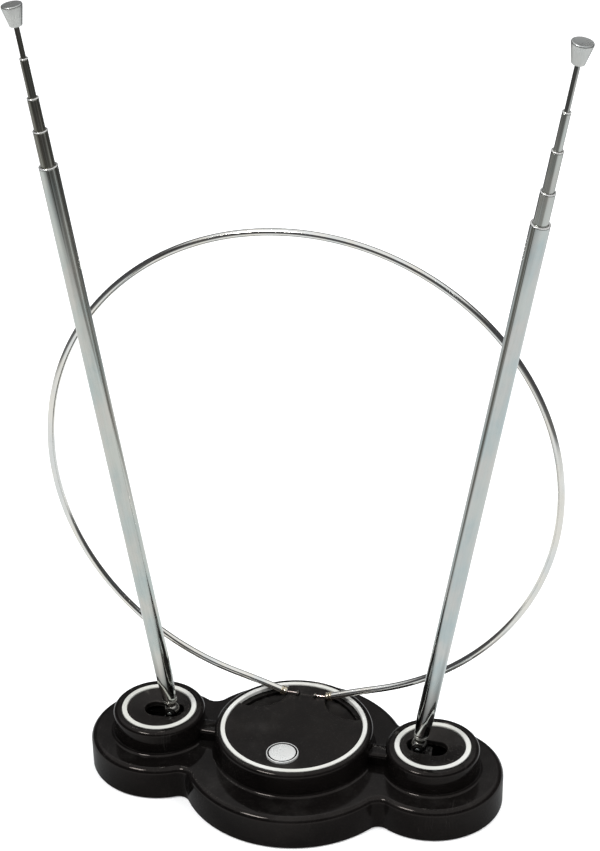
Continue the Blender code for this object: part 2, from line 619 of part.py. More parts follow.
def build_hinge_pin(side, rock):
    """The riveted pin through the saddle's ears and the mast's ball."""
    near, far, head = EAR_Y[1] + 0.1 * MM, EAR_Y[1] + 0.45 * MM, 1.15 * MM
    profile = [(0, -far), (head * 0.7, -far), (head, -near), (HINGE_PIN_RADIUS, -near),
               (HINGE_PIN_RADIUS, near), (head, near), (head * 0.7, far), (0, far)]
    make_object(f"{side}_hinge_pin", turned(profile, 12, axis="Y"), "chrome", parent=rock)


def build_tension_screw(side, rock):
    """The screw under the saddle and the spring that presses it into the cradle."""
    shank, head, tip, under, low = 0.85 * MM, 2.3 * MM, -5.3 * MM, -13.6 * MM, -14.8 * MM
    profile = [(0, low), (head, low), (head, under), (shank, under), (shank, tip), (0, tip)]
    make_object(f"{side}_tension_screw", turned(profile, 12), "steel", parent=rock)
    turns, wire, radius = 3, 0.35 * MM, 1.6 * MM
    top, bottom = -9.9 * MM, under + 0.65 * MM
    steps = turns * 8
    path = []
    for index in range(steps + 1):
        angle = 2 * pi * turns * index / steps
        path.append(Vector((radius * cos(angle), radius * sin(angle),
                            bottom + (top - bottom) * index / steps)))
    curve = bpy.data.curves.new(f"{side}_tension_spring", "CURVE")
    curve.dimensions = "3D"
    curve.bevel_depth = wire
    curve.bevel_resolution = 0
    curve.use_fill_caps = True
    curve.materials.append(finish("steel"))
    spline = curve.splines.new("POLY")
    spline.points.add(len(path) - 1)
    for point, place in zip(spline.points, path):
        point.co = (*place, 1)
    spring = bpy.data.objects.new(f"{side}_tension_spring", curve)
    spring.parent = rock
    bpy.context.scene.collection.objects.link(spring)


def build_mast_foot(side, fold):
    """The flattened ball, neck, collar and spigot that the mast's tube is crimped on."""
    neck, collar, spigot = 2.2 * MM, 3.0 * MM, 2.4 * MM
    ball_top = degrees(acos(neck / BALL_RADIUS))
    profile = arc((0, 0), BALL_RADIUS, -90, ball_top, 9)
    profile += [(neck, 4.4 * MM), (collar - 0.4 * MM, 4.6 * MM), (collar, 5.0 * MM),
                (collar, 5.8 * MM), (collar - 0.4 * MM, 6.2 * MM), (spigot, 6.2 * MM),
                (spigot, 14 * MM), (0, 14 * MM)]
    profile[0] = (0, -BALL_RADIUS)
    foot = make_object(f"{side}_mast_foot", turned(profile), "dark_chrome", parent=fold)
    for y in (-1, 1):
        low, high = sorted((y * BALL_HALF_WIDTH, y * 6 * MM))
        combine(foot, block((-6 * MM, low, -6 * MM), (6 * MM, high, 4 * MM)), "DIFFERENCE",
                parent=fold)
    hole = HINGE_PIN_RADIUS + 0.1 * MM
    drill = turned([(0, -6 * MM), (hole, -6 * MM), (hole, 6 * MM), (0, 6 * MM)], 12, axis="Y")
    combine(foot, drill, "DIFFERENCE", parent=fold)


def section_profile(index, start, top):
    """Profile of a mast tube: bore, rolled lip at the mouth and, on the first, a tapered end."""
    outer, wall = SECTION_RADII[index], SECTION_WALLS[index]
    bore = outer - wall
    mouth = SECTION_RADII[index + 1] + LIP_CLEARANCE
    lip = top - LIP_HEIGHT
    inside = [(mouth, top), (mouth, lip), (bore, lip - 0.6 * MM)]
    outside = [(outer, lip), (outer + 0.08 * MM, lip + 0.3 * MM), (outer + 0.08 * MM, top - 0.4 * MM),
               (outer - 0.2 * MM, top)]
    if index:
        return [(bore, start), (outer, start)] + outside + inside
    taper_bore = TAPER_RADIUS - wall
    return ([(taper_bore, start), (TAPER_RADIUS, start), (TAPER_RADIUS, start + 1.5 * MM),
             (outer, TAPER_END)] + outside + inside
            + [(bore, TAPER_END), (taper_bore, start + 1.5 * MM)])


def build_mast_tubes(side, fold):
    """The mast's sections, each with the sleeve that guides it in the one outside it."""
    tube = turned(section_profile(0, MAST_TUBE_START, MAST_TUBE_TOP))
    make_object(f"{side}_tube_1", tube, "chrome", parent=fold)
    top = MAST_TUBE_TOP
    parent = fold
    origin = 0.0
    for index in range(1, 5):
        top += EXPOSED[side][index - 1]
        start = top - SECTION_LENGTHS[index]
        parent = make_empty(f"{side}_slide_{index + 1}", (0, 0, start - origin), parent=parent)
        origin = start
        length = top - start
        if index < 4:
            bm = turned(section_profile(index, 0, length))
            make_object(f"{side}_tube_{index + 1}", bm, "chrome", parent=parent)
            sleeve_name = f"{side}_sleeve_{index + 1}"
        else:
            radius = SECTION_RADII[4]
            rod = [(0, 0), (radius, 0), (radius, length + CAP_LENGTH - 2 * MM),
                   (0, length + CAP_LENGTH - 2 * MM)]
            make_object(f"{side}_tip_rod", turned(rod), "chrome", parent=parent)
            sleeve_name = f"{side}_rod_stop"
        inner = SECTION_RADII[index] + SLEEVE_CLEARANCE
        outer = SECTION_RADII[index - 1] - SECTION_WALLS[index - 1] - SLEEVE_CLEARANCE
        low, high = 1 * MM, 1 * MM + SLEEVE_LENGTH
        sleeve = [(inner, low), (outer, low), (outer, high), (inner, high)]
        make_object(sleeve_name, turned(sleeve), "brass", parent=parent)
    build_tip_cap(side, parent, SECTION_LENGTHS[4])


def build_tip_cap(side, parent, foot):
    """The flared cap on the end of the tip rod."""
    small, large = CAP_RADII
    bore = SECTION_RADII[4] + GAP
    top = foot + CAP_LENGTH
    profile = [(bore, foot), (small - 0.3 * MM, foot), (small, foot + 0.4 * MM),
               (large, top - 0.9 * MM), (large - 0.2 * MM, top - 0.3 * MM), (large - 0.8 * MM, top),
               (0, top), (0, top - 1.6 * MM), (bore, top - 1.6 * MM)]
    make_object(f"{side}_tip_cap", turned(profile), "satin_metal", parent=parent)


def build():
    clear_scene()
    build_base_shell()
    build_underside()
    build_middle_insert()
    for side in SIDES:
        build_end_insert(side)
    build_cable_gland()
    build_wiring()
    build_loop()
    for side in SIDES:
        fold = build_mast_mount(side)
        build_mast_foot(side, fold)
        build_mast_tubes(side, fold)


build()
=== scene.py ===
"""Looks of a table-top rabbit ears television antenna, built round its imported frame.

The base is a glossy three-lobed moulding with satin inserts and pale trim rings. Two telescoping
masts stand on hinged feet in the end lobes, and a round wire loop stands on the middle lobe. Every
piece is made in place in the frame's own metres and rides on the frame's bodies.
"""

import json
import logging
from dataclasses import dataclass, field
from enum import Enum
from math import atan2, cos, degrees, pi, radians, sin, sqrt
from typing import Callable, Iterable, Sequence

import bmesh
import bpy
from mathutils import Matrix, Vector

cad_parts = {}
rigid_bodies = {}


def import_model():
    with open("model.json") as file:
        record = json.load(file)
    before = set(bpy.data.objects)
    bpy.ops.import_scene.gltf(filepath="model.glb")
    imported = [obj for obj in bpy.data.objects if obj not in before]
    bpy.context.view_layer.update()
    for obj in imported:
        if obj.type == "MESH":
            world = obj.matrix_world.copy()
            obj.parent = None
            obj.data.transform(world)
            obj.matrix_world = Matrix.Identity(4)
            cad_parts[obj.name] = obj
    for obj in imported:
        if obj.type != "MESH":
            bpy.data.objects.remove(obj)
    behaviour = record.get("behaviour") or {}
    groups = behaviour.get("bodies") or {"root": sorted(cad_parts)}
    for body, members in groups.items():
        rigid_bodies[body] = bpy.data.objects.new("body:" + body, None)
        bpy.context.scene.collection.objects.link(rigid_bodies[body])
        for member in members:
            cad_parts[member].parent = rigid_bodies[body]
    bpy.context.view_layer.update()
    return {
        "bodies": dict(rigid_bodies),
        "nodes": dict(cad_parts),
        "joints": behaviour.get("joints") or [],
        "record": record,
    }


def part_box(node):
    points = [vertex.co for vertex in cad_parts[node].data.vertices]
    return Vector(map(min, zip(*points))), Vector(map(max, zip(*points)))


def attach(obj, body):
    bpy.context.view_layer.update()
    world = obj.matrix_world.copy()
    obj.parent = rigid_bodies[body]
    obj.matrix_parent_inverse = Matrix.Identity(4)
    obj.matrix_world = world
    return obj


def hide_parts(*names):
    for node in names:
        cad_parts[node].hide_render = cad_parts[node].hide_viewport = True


LOG = logging.getLogger("rabbit_ears")
MM = 0.001
MERGE = 1e-7
Corner = tuple[float, float, float]
Point = tuple[float, float]
Colour = tuple[float, float, float]
Form = bmesh.types.BMesh


class Side(Enum):
    """The two ends of the antenna, left at -X."""

    LEFT = "left"
    RIGHT = "right"

    @property
    def sign(self) -> int:
        """-1 on the left and 1 on the right."""
        return -1 if self is Side.LEFT else 1


class Slot(Enum):
    """The record's material slot names. No piece here takes its finish from them."""

    BLACK_GLOSS = "black_gloss"
    BLACK_SATIN = "black_satin"
    IVORY = "ivory"
    CHROME = "chrome"
    DARK_CHROME = "dark_chrome"
    SATIN_METAL = "satin_metal"
    BRASS = "brass"
    STEEL = "steel"
    RUBBER = "rubber"


# ---------------------------------------------------------------- forming

def spun(corners: Sequence[Corner], steps: int, closed: bool = False, segments: int = 4) -> Form:
    """Turn a profile round the Z axis, with each corner eased before it is turned.

    Args:
        corners: Radius, height and easing of each corner, in metres.
        steps: Facets round the turn.
        closed: Whether the profile closes on itself, as a ring's does. Otherwise it starts and
            ends on the axis.
        segments: Facets round each eased corner.

    Returns:
        A closed shape, faces outwards.
    """
    form = bmesh.new()
    points = [form.verts.new((radius, 0, height)) for radius, height, _ in corners]
    pairs = list(zip(points, points[1:])) + ([(points[-1], points[0])] if closed else [])
    for pair in pairs:
        form.edges.new(pair)
    for point, (_, _, ease) in zip(points, corners):
        if ease:
            bmesh.ops.bevel(form, geom=[point], offset=ease, offset_type="OFFSET",
                            segments=segments, profile=0.5, affect="VERTICES", material=-1)
    bmesh.ops.spin(form, geom=form.verts[:] + form.edges[:], cent=(0, 0, 0), axis=(0, 0, 1),
                   angle=2 * pi, steps=steps, use_merge=True)
    bmesh.ops.remove_doubles(form, verts=form.verts, dist=MERGE)
    bmesh.ops.dissolve_degenerate(form, dist=MERGE, edges=form.edges)
    bmesh.ops.recalc_face_normals(form, faces=form.faces)
    return form


def moved(form: Form, matrix: Matrix) -> Form:
    """Place a shape with a matrix, keeping its faces outwards.

    Args:
        form: The shape.
        matrix: Where it goes.

    Returns:
        The same shape.
    """
    bmesh.ops.transform(form, matrix=matrix, verts=form.verts)
    bmesh.ops.recalc_face_normals(form, faces=form.faces)
    return form


def at(x: float = 0.0, y: float = 0.0, z: float = 0.0) -> Matrix:
    """A matrix that only shifts."""
    return Matrix.Translation((x, y, z))


ALONG_X = Matrix.Rotation(pi / 2, 4, "Y")
ALONG_Y = Matrix.Rotation(-pi / 2, 4, "X")


def extruded(corners: Sequence[Sequence[float]], run: Sequence[float]) -> Form:
    """Extrude a flat face.

    Args:
        corners: Points round the face.
        run: How far, and which way.

    Returns:
        A closed shape.
    """
    form = bmesh.new()
    face = form.faces.new([form.verts.new(corner) for corner in corners])
    raised = bmesh.ops.extrude_face_region(form, geom=[face])["geom"]
    far = [item for item in raised if isinstance(item, bmesh.types.BMVert)]
    bmesh.ops.translate(form, verts=far, vec=run)
    bmesh.ops.recalc_face_normals(form, faces=form.faces)
    return form


def prism(outline: Sequence[Point], low: float, high: float) -> Form:
    """Extrude an outline in the XY plane between two heights.

    Args:
        outline: Points round the outline.
        low: Height of its lower face.
        high: Height of its upper face.

    Returns:
        A closed shape.
    """
    return extruded([(x, y, low) for x, y in outline], (0, 0, high - low))


def bar(radius: float, low: float, high: float, steps: int) -> Form:
    """A plain round bar along Z, to drill or to trim with."""
    return spun([(0, low, 0), (radius, low, 0), (radius, high, 0), (0, high, 0)], steps)


def block(low: Sequence[float], high: Sequence[float]) -> Form:
    """A box between two corners."""
    form = bmesh.new()
    size = [b - a for a, b in zip(low, high)]
    middle = [(a + b) / 2 for a, b in zip(low, high)]
    bmesh.ops.create_cube(form, size=1.0, matrix=at(*middle) @ Matrix.Diagonal((*size, 1.0)))
    return form


def eased(form: Form, chosen: Callable[[bmesh.types.BMEdge], bool], offset: float,
          segments: int = 3) -> Form:
    """Round some of a shape's edges.

    Args:
        form: The shape.
        chosen: Says which edges to round.
        offset: Width taken off each side of an edge.
        segments: Facets across the rounding.

    Returns:
        The same shape.
    """
    edges = [edge for edge in form.edges if chosen(edge)]
    bmesh.ops.bevel(form, geom=edges, offset=offset, offset_type="OFFSET", segments=segments,
                    profile=0.5, affect="EDGES", material=-1, clamp_overlap=True)
    return form


def swept(path: Sequence[Vector], radii: Sequence[float], sides: int, across: Vector) -> Form:
    """Draw a ring along a flat path, with a radius at each point.

    Args:
        path: Centre points, all in one plane.
        radii: Radius at each point.
        sides: Facets round the rod.
        across: Direction square to the path's plane.

    Returns:
        A closed rod.
    """
    def frame(index: int) -> Matrix:
        """The place, run and size of the ring at one point of the path."""
        before, after = path[max(index - 1, 0)], path[min(index + 1, len(path) - 1)]
        run = (after - before).normalized()
        rows = Matrix((across.cross(run), across, run)).transposed().to_4x4()
        return Matrix.Translation(path[index]) @ rows @ Matrix.Scale(radii[index], 4)

    form = bmesh.new()
    bmesh.ops.create_circle(form, cap_ends=False, segments=sides, radius=1.0, matrix=frame(0))
    edges = form.edges[:]
    for index in range(1, len(path)):
        grown = bmesh.ops.extrude_edge_only(form, edges=edges)["geom"]
        points = [item for item in grown if isinstance(item, bmesh.types.BMVert)]
        fresh = set(points)
        edges = [item for item in grown if isinstance(item, bmesh.types.BMEdge)
                 and all(point in fresh for point in item.verts)]
        step = frame(index) @ frame(index - 1).inverted()
        bmesh.ops.transform(form, matrix=step, verts=points)
    bmesh.ops.holes_fill(form, edges=form.edges)
    bmesh.ops.recalc_face_normals(form, faces=form.faces)
    return form


def mesh_from(form: Form, name: str) -> bpy.types.Mesh:
    """Write a shape to a mesh and free it."""
    mesh = bpy.data.meshes.new(name)
    form.to_mesh(mesh)
    form.free()
    return mesh


def combined(form: Form, tools: Iterable[Form], operation: str) -> Form:
    """Join shapes to a shape, or cut them out of it.

    Args:
        form: The shape to work on.
        tools: The shapes to join or cut with, in order.
        operation: "UNION" or "DIFFERENCE".

    Returns:
        The new shape.
    """
    scene = bpy.context.scene.collection
    target = bpy.data.objects.new("work", mesh_from(form, "work"))
    scene.objects.link(target)
    helpers = []
    for tool in tools:
        helper = bpy.data.objects.new("tool", mesh_from(tool, "tool"))
        scene.objects.link(helper)
        modifier = target.modifiers.new("Join", "BOOLEAN")
        modifier.operation, modifier.solver, modifier.object = operation, "MANIFOLD", helper
        helpers.append(helper)
    graph = bpy.context.evaluated_depsgraph_get()
    result = bmesh.new()
    result.from_mesh(bpy.data.meshes.new_from_object(target.evaluated_get(graph)))
    for item in (target, *helpers):
        mesh = item.data
        bpy.data.objects.remove(item, do_unlink=True)
        bpy.data.meshes.remove(mesh)
    bmesh.ops.remove_doubles(result, verts=result.verts, dist=MERGE)
    bmesh.ops.dissolve_degenerate(result, dist=MERGE, edges=result.edges)
    return result


def piece(name: str, form: Form, body: str, material: bpy.types.Material,
          stands_for: Sequence[str], sharp: float = 32.0, weighted: bool = False
          ) -> bpy.types.Object:
    """Turn a finished shape into a piece of the antenna.

    Args:
        name: The piece's name.
        form: Its shape, in place in the frame.
        body: The frame's body that it moves with.
        material: Its finish.
        stands_for: The frame's nodes that it is shown instead of.
        sharp: Angle above which an edge stays crisp, in degrees.
        weighted: Whether large flat faces keep their shading flat up to a rounding.

    Returns:
        The piece's object.
    """
    mesh = mesh_from(form, name)
    mesh.shade_smooth()
    mesh.set_sharp_from_angle(angle=radians(sharp))
    mesh.materials.append(material)
    item = bpy.data.objects.new(name, mesh)
    bpy.context.scene.collection.objects.link(item)
    if weighted:
        modifier = item.modifiers.new("Flat faces", "WEIGHTED_NORMAL")
        modifier.keep_sharp = True
    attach(item, body)
    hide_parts(*stands_for)
    LOG.info("%s rides on %s for %s", name, body, ", ".join(stands_for))
    return item


def arc(centre: Point, radius: float, start: float, end: float, steps: int) -> list[Point]:
    """Points round part of a circle, both ends included.

    Args:
        centre: The circle's centre.
        radius: Its radius.
        start: First angle, in degrees.
        end: Last angle, in degrees.
        steps: Spaces between the points.

    Returns:
        The points.
    """
    angles = [radians(start + (end - start) * i / steps) for i in range(steps + 1)]
    return [(centre[0] + radius * cos(a), centre[1] + radius * sin(a)) for a in angles]


# ---------------------------------------------------------------- finishes

class Tree:
    """A node tree and short ways to add to it."""

    def __init__(self, tree: bpy.types.NodeTree) -> None:
        """Start on an empty tree."""
        self.tree = tree

    def add(self, kind: str, **settings: object) -> bpy.types.Node:
        """Add a node.

        Args:
            kind: The node's type name.
            settings: Properties to set on it.

        Returns:
            The node.
        """
        node = self.tree.nodes.new(kind)
        for name, value in settings.items():
            setattr(node, name, value)
        return node

    def feed(self, socket: bpy.types.NodeSocket, value: object) -> None:
        """Link a socket to an input, or set the input to a number, vector or colour."""
        if isinstance(value, bpy.types.NodeSocket):
            self.tree.links.new(value, socket)
        elif isinstance(value, tuple) and len(value) == 3 and socket.type == "RGBA":
            socket.default_value = (*value, 1.0)
        else:
            socket.default_value = value

    def sum(self, kind: str, first: object, second: object = 0.0, clamp: bool = False
            ) -> bpy.types.NodeSocket:
        """One step of arithmetic.

        Args:
            kind: The operation, such as "ADD" or "MULTIPLY".
            first: Its first value.
            second: Its second value.
            clamp: Whether the result is kept between 0 and 1.

        Returns:
            The result's socket.
        """
        node = self.add("ShaderNodeMath", operation=kind, use_clamp=clamp)
        self.feed(node.inputs[0], first)
        self.feed(node.inputs[1], second)
        return node.outputs[0]

    def spread(self, value: object, low: float, high: float, start: float = 0.0,
               end: float = 1.0) -> bpy.types.NodeSocket:
        """Stretch a value's range from low..high to start..end, and keep it there."""
        node = self.add("ShaderNodeMapRange", interpolation_type="SMOOTHSTEP")
        for socket, number in zip(node.inputs, (value, low, high, start, end)):
            self.feed(socket, number)
        return node.outputs[0]

    def mix(self, share: object, first: object, second: object) -> bpy.types.NodeSocket:
        """Blend two colours by a share from 0 to 1."""
        node = self.add("ShaderNodeMix", data_type="RGBA")
        self.feed(node.inputs["Factor"], share)
        self.feed(node.inputs[6], first)
        self.feed(node.inputs[7], second)
        return node.outputs[2]

    def noise(self, where: object, scale: object, detail: float = 3.0, rough: float = 0.5
              ) -> bpy.types.NodeSocket:
        """Smooth noise over a place.

        Args:
            where: The coordinates.
            scale: Cycles in a metre, about.
            detail: Octaves.
            rough: Strength of the finer octaves.

        Returns:
            The noise, from 0 to 1.
        """
        node = self.add("ShaderNodeTexNoise")
        for name, value in (("Vector", where), ("Scale", scale), ("Detail", detail),
                            ("Roughness", rough)):
            self.feed(node.inputs[name], value)
        return node.outputs["Fac"]

    def scaled(self, where: object, scale: Sequence[float], turn: Sequence[float] = (0, 0, 0)
               ) -> bpy.types.NodeSocket:
        """Stretch and turn coordinates."""
        node = self.add("ShaderNodeMapping")
        self.feed(node.inputs["Vector"], where)
        node.inputs["Scale"].default_value = scale
        node.inputs["Rotation"].default_value = turn
        return node.outputs[0]

    def bump(self, height: object, depth: float, below: object = None) -> bpy.types.NodeSocket:
        """Relief from a height.

        Args:
            height: The height, from 0 to 1.
            depth: What a height of 1 stands for, in metres.
            below: A normal to add the relief to.

        Returns:
            The normal's socket.
        """
        node = self.add("ShaderNodeBump")
        node.inputs["Strength"].default_value = 1.0
        node.inputs["Distance"].default_value = depth
        self.feed(node.inputs["Height"], height)
        if below is not None:
            self.feed(node.inputs["Normal"], below)
        return node.outputs[0]


class Effect(Enum):
    """Surface effects that several finishes share, each a node group made on first use."""

    CLOUDS = "soft_clouds"
    GRAIN = "fine_grain"
    SCRATCHES = "hair_scratches"
    WEAR = "edge_wear"
    DUST = "settled_dust"
    DRAWN = "drawn_streaks"

    def group(self) -> bpy.types.NodeTree:
        """The effect's node group."""
        found = bpy.data.node_groups.get(self.value)
        if found:
            return found
        made = bpy.data.node_groups.new(self.value, "ShaderNodeTree")
        for name, way, kind in (("Vector", "INPUT", "Vector"), ("Scale", "INPUT", "Float"),
                                ("Amount", "INPUT", "Float"), ("Mask", "OUTPUT", "Float")):
            made.interface.new_socket(name, in_out=way, socket_type=f"NodeSocket{kind}")
        tree = Tree(made)
        entry = tree.add("NodeGroupInput")
        end = tree.add("NodeGroupOutput")
        mask = getattr(self, f"_{self.name.lower()}")(tree, *entry.outputs[:3])
        tree.feed(end.inputs["Mask"], mask)
        return made

    def use(self, tree: Tree, where: object, scale: float, amount: float = 1.0
            ) -> bpy.types.NodeSocket:
        """Place the effect in a material.

        Args:
            tree: The material's tree.
            where: Coordinates.
            scale: Cycles in a metre, about.
            amount: Strength of the effect.

        Returns:
            The effect's mask, from 0 to 1.
        """
        node = tree.add("ShaderNodeGroup")
        node.node_tree = self.group()
        tree.feed(node.inputs["Vector"], where)
        node.inputs["Scale"].default_value = scale
        node.inputs["Amount"].default_value = amount
        return node.outputs["Mask"]

    def _clouds(self, tree: Tree, where: object, scale: object, amount: object
                ) -> bpy.types.NodeSocket:
        """Soft patches with broken edges."""
        wide = tree.noise(where, scale, 5.0, 0.55)
        return tree.sum("MULTIPLY", tree.spread(wide, 0.36, 0.66), amount, clamp=True)

    def _grain(self, tree: Tree, where: object, scale: object, amount: object
               ) -> bpy.types.NodeSocket:
        """Small rounded pips over finer noise."""
        cells = tree.add("ShaderNodeTexVoronoi", feature="SMOOTH_F1")
        tree.feed(cells.inputs["Vector"], where)
        tree.feed(cells.inputs["Scale"], scale)
        pips = tree.spread(cells.outputs["Distance"], 0.1, 0.7, 1.0, 0.0)
        fine = tree.noise(where, tree.sum("MULTIPLY", scale, 2.3), 2.0)
        both = tree.sum("ADD", tree.sum("MULTIPLY", pips, 0.6), tree.sum("MULTIPLY", fine, 0.4))
        return tree.sum("MULTIPLY", both, amount, clamp=True)

    def _scratches(self, tree: Tree, where: object, scale: object, amount: object
                   ) -> bpy.types.NodeSocket:
        """Sparse hair lines in three directions."""
        lines: object = 0.0
        for turn, stretch in (((0.3, 0.2, 0.5), 0.05), ((0.7, -0.4, 2.0), 0.04),
                              ((-0.2, 0.6, 3.4), 0.07)):
            place = tree.scaled(where, (1.0, stretch, stretch), turn)
            thread = tree.noise(place, scale, 2.0, 0.6)
            ridge = tree.sum("ABSOLUTE", tree.sum("SUBTRACT", thread, 0.5))
            lines = tree.sum("MAXIMUM", lines, tree.spread(ridge, 0.0, 0.006, 1.0, 0.0))
        broken = tree.spread(tree.noise(where, 90.0, 2.0), 0.52, 0.66)
        return tree.sum("MULTIPLY", tree.sum("MULTIPLY", lines, broken), amount, clamp=True)

    def _wear(self, tree: Tree, where: object, scale: object, amount: object
              ) -> bpy.types.NodeSocket:
        """Rubbed convex edges, broken up by noise."""
        edges = tree.spread(tree.add("ShaderNodeNewGeometry").outputs["Pointiness"], 0.515, 0.60)
        broken = tree.spread(tree.noise(where, scale, 4.0, 0.65), 0.40, 0.62)
        return tree.sum("MULTIPLY", tree.sum("MULTIPLY", edges, broken), amount, clamp=True)

    def _dust(self, tree: Tree, where: object, scale: object, amount: object
              ) -> bpy.types.NodeSocket:
        """Fine dust on what faces up, and a little everywhere."""
        split = tree.add("ShaderNodeSeparateXYZ")
        tree.feed(split.inputs[0], tree.add("ShaderNodeTexCoord").outputs["Normal"])
        upward = tree.spread(split.outputs["Z"], 0.2, 1.0, 0.15, 1.0)
        patches = tree.spread(tree.noise(where, scale, 6.0, 0.7), 0.45, 0.75)
        specks = tree.spread(tree.noise(where, tree.sum("MULTIPLY", scale, 40.0), 1.0), 0.66, 0.74)
        layer = tree.sum("ADD", tree.sum("MULTIPLY", patches, 0.45), specks)
        return tree.sum("MULTIPLY", tree.sum("MULTIPLY", layer, upward), amount, clamp=True)

    def _drawn(self, tree: Tree, where: object, scale: object, amount: object
               ) -> bpy.types.NodeSocket:
        """Long fine streaks along Z, as a drawn tube has."""
        place = tree.scaled(where, (1.0, 1.0, 0.03))
        streaks = tree.spread(tree.noise(place, scale, 3.0, 0.6), 0.35, 0.65)
        return tree.sum("MULTIPLY", streaks, amount, clamp=True)


@dataclass(frozen=True)
class Finish:
    """A surface finish, dressed by its own nodes.

    The shader's constant values are fields, and `dress` adds what changes over the surface.
    """

    name: str
    metallic: float = 0.0
    ior: float = 1.5
    specular: float = 0.5
    tint: Colour = (1.0, 1.0, 1.0)

    def material(self) -> bpy.types.Material:
        """The finish's material, made on first use."""
        found = bpy.data.materials.get(f"finish_{self.name}")
        if found:
            return found
        made = bpy.data.materials.new(f"finish_{self.name}")
        made.use_nodes = True
        shader = made.node_tree.nodes["Principled BSDF"]
        shader.inputs["Metallic"].default_value = self.metallic
        shader.inputs["IOR"].default_value = self.ior
        shader.inputs["Specular IOR Level"].default_value = self.specular
        shader.inputs["Specular Tint"].default_value = (*self.tint, 1.0)
        tree = Tree(made.node_tree)
        where = tree.add("ShaderNodeTexCoord").outputs["Object"]
        colour, roughness, normal = self.dress(tree, where)
        tree.feed(shader.inputs["Base Color"], colour)
        tree.feed(shader.inputs["Roughness"], roughness)
        tree.feed(shader.inputs["Normal"], normal)
        return made

    def dress(self, tree: Tree, where: bpy.types.NodeSocket
              ) -> tuple[bpy.types.NodeSocket, bpy.types.NodeSocket, bpy.types.NodeSocket]:
        """Add the nodes for what changes over the surface.

        Args:
            tree: The material's tree.
            where: Object coordinates.

        Returns:
            The sockets of the colour, the roughness and the normal.
        """
        raise NotImplementedError


@dataclass(frozen=True)
class Moulding(Finish):
    """Moulded plastic or rubber with its own texture, wear and dust."""

    colour: Colour = (0.01, 0.01, 0.01)
    shade: Colour = (0.02, 0.02, 0.02)
    worn: Colour = (0.1, 0.1, 0.1)
    dust: Colour = (0.45, 0.43, 0.40)
    roughness: tuple[float, float] = (0.1, 0.2)
    grain_scale: float = 900.0
    grain_depth: float = 4e-6
    ripple_depth: float = 4e-5
    dust_amount: float = 0.1
    wear_amount: float = 0.3
    scratch_amount: float = 0.4
    cloud_scale: float = 38.0
    wear_scale: float = 420.0
    dust_scale: float = 60.0
    scratch_scale: float = 260.0
    scratch_depth: float = 3e-6
    ripple_scale: float = 130.0

    def dress(self, tree: Tree, where: bpy.types.NodeSocket
              ) -> tuple[bpy.types.NodeSocket, bpy.types.NodeSocket, bpy.types.NodeSocket]:
        """Mottle, rub, scratch and dust the moulding. See Finish.dress."""
        clouds = Effect.CLOUDS.use(tree, where, self.cloud_scale)
        grain = Effect.GRAIN.use(tree, where, self.grain_scale)
        wear = Effect.WEAR.use(tree, where, self.wear_scale, self.wear_amount)
        dust = Effect.DUST.use(tree, where, self.dust_scale, self.dust_amount)
        lines = Effect.SCRATCHES.use(tree, where, self.scratch_scale, self.scratch_amount)
        colour = tree.mix(clouds, self.colour, self.shade)
        colour = tree.mix(wear, colour, self.worn)
        colour = tree.mix(tree.sum("MULTIPLY", lines, 0.35), colour, self.worn)
        colour = tree.mix(dust, colour, self.dust)
        low, high = self.roughness
        rough = tree.spread(clouds, 0.0, 1.0, low, high)
        for mask, share in ((wear, 0.25), (lines, 0.3), (dust, 0.5)):
            rough = tree.sum("ADD", rough, tree.sum("MULTIPLY", mask, share), clamp=mask is dust)
        ripple = tree.bump(tree.noise(where, self.ripple_scale, 1.5), self.ripple_depth)
        pips = tree.bump(grain, self.grain_depth, ripple)
        return colour, rough, tree.bump(lines, -self.scratch_depth, pips)


@dataclass(frozen=True)
class PaintedShadeBand:
    """Painted shade on a tube: a dark reflection painted into the plating's colour down one side.

    `edges` says how near to the darkened side the painted shade begins, as a cosine, at the lower
    and the upper of `heights`.
    """

    towards: tuple[float, float, float]
    heights: tuple[float, float]
    edges: tuple[float, float]
    strength: float = 0.9
    colour: Colour = (0.10, 0.09, 0.066)
    threads: float = 7.0


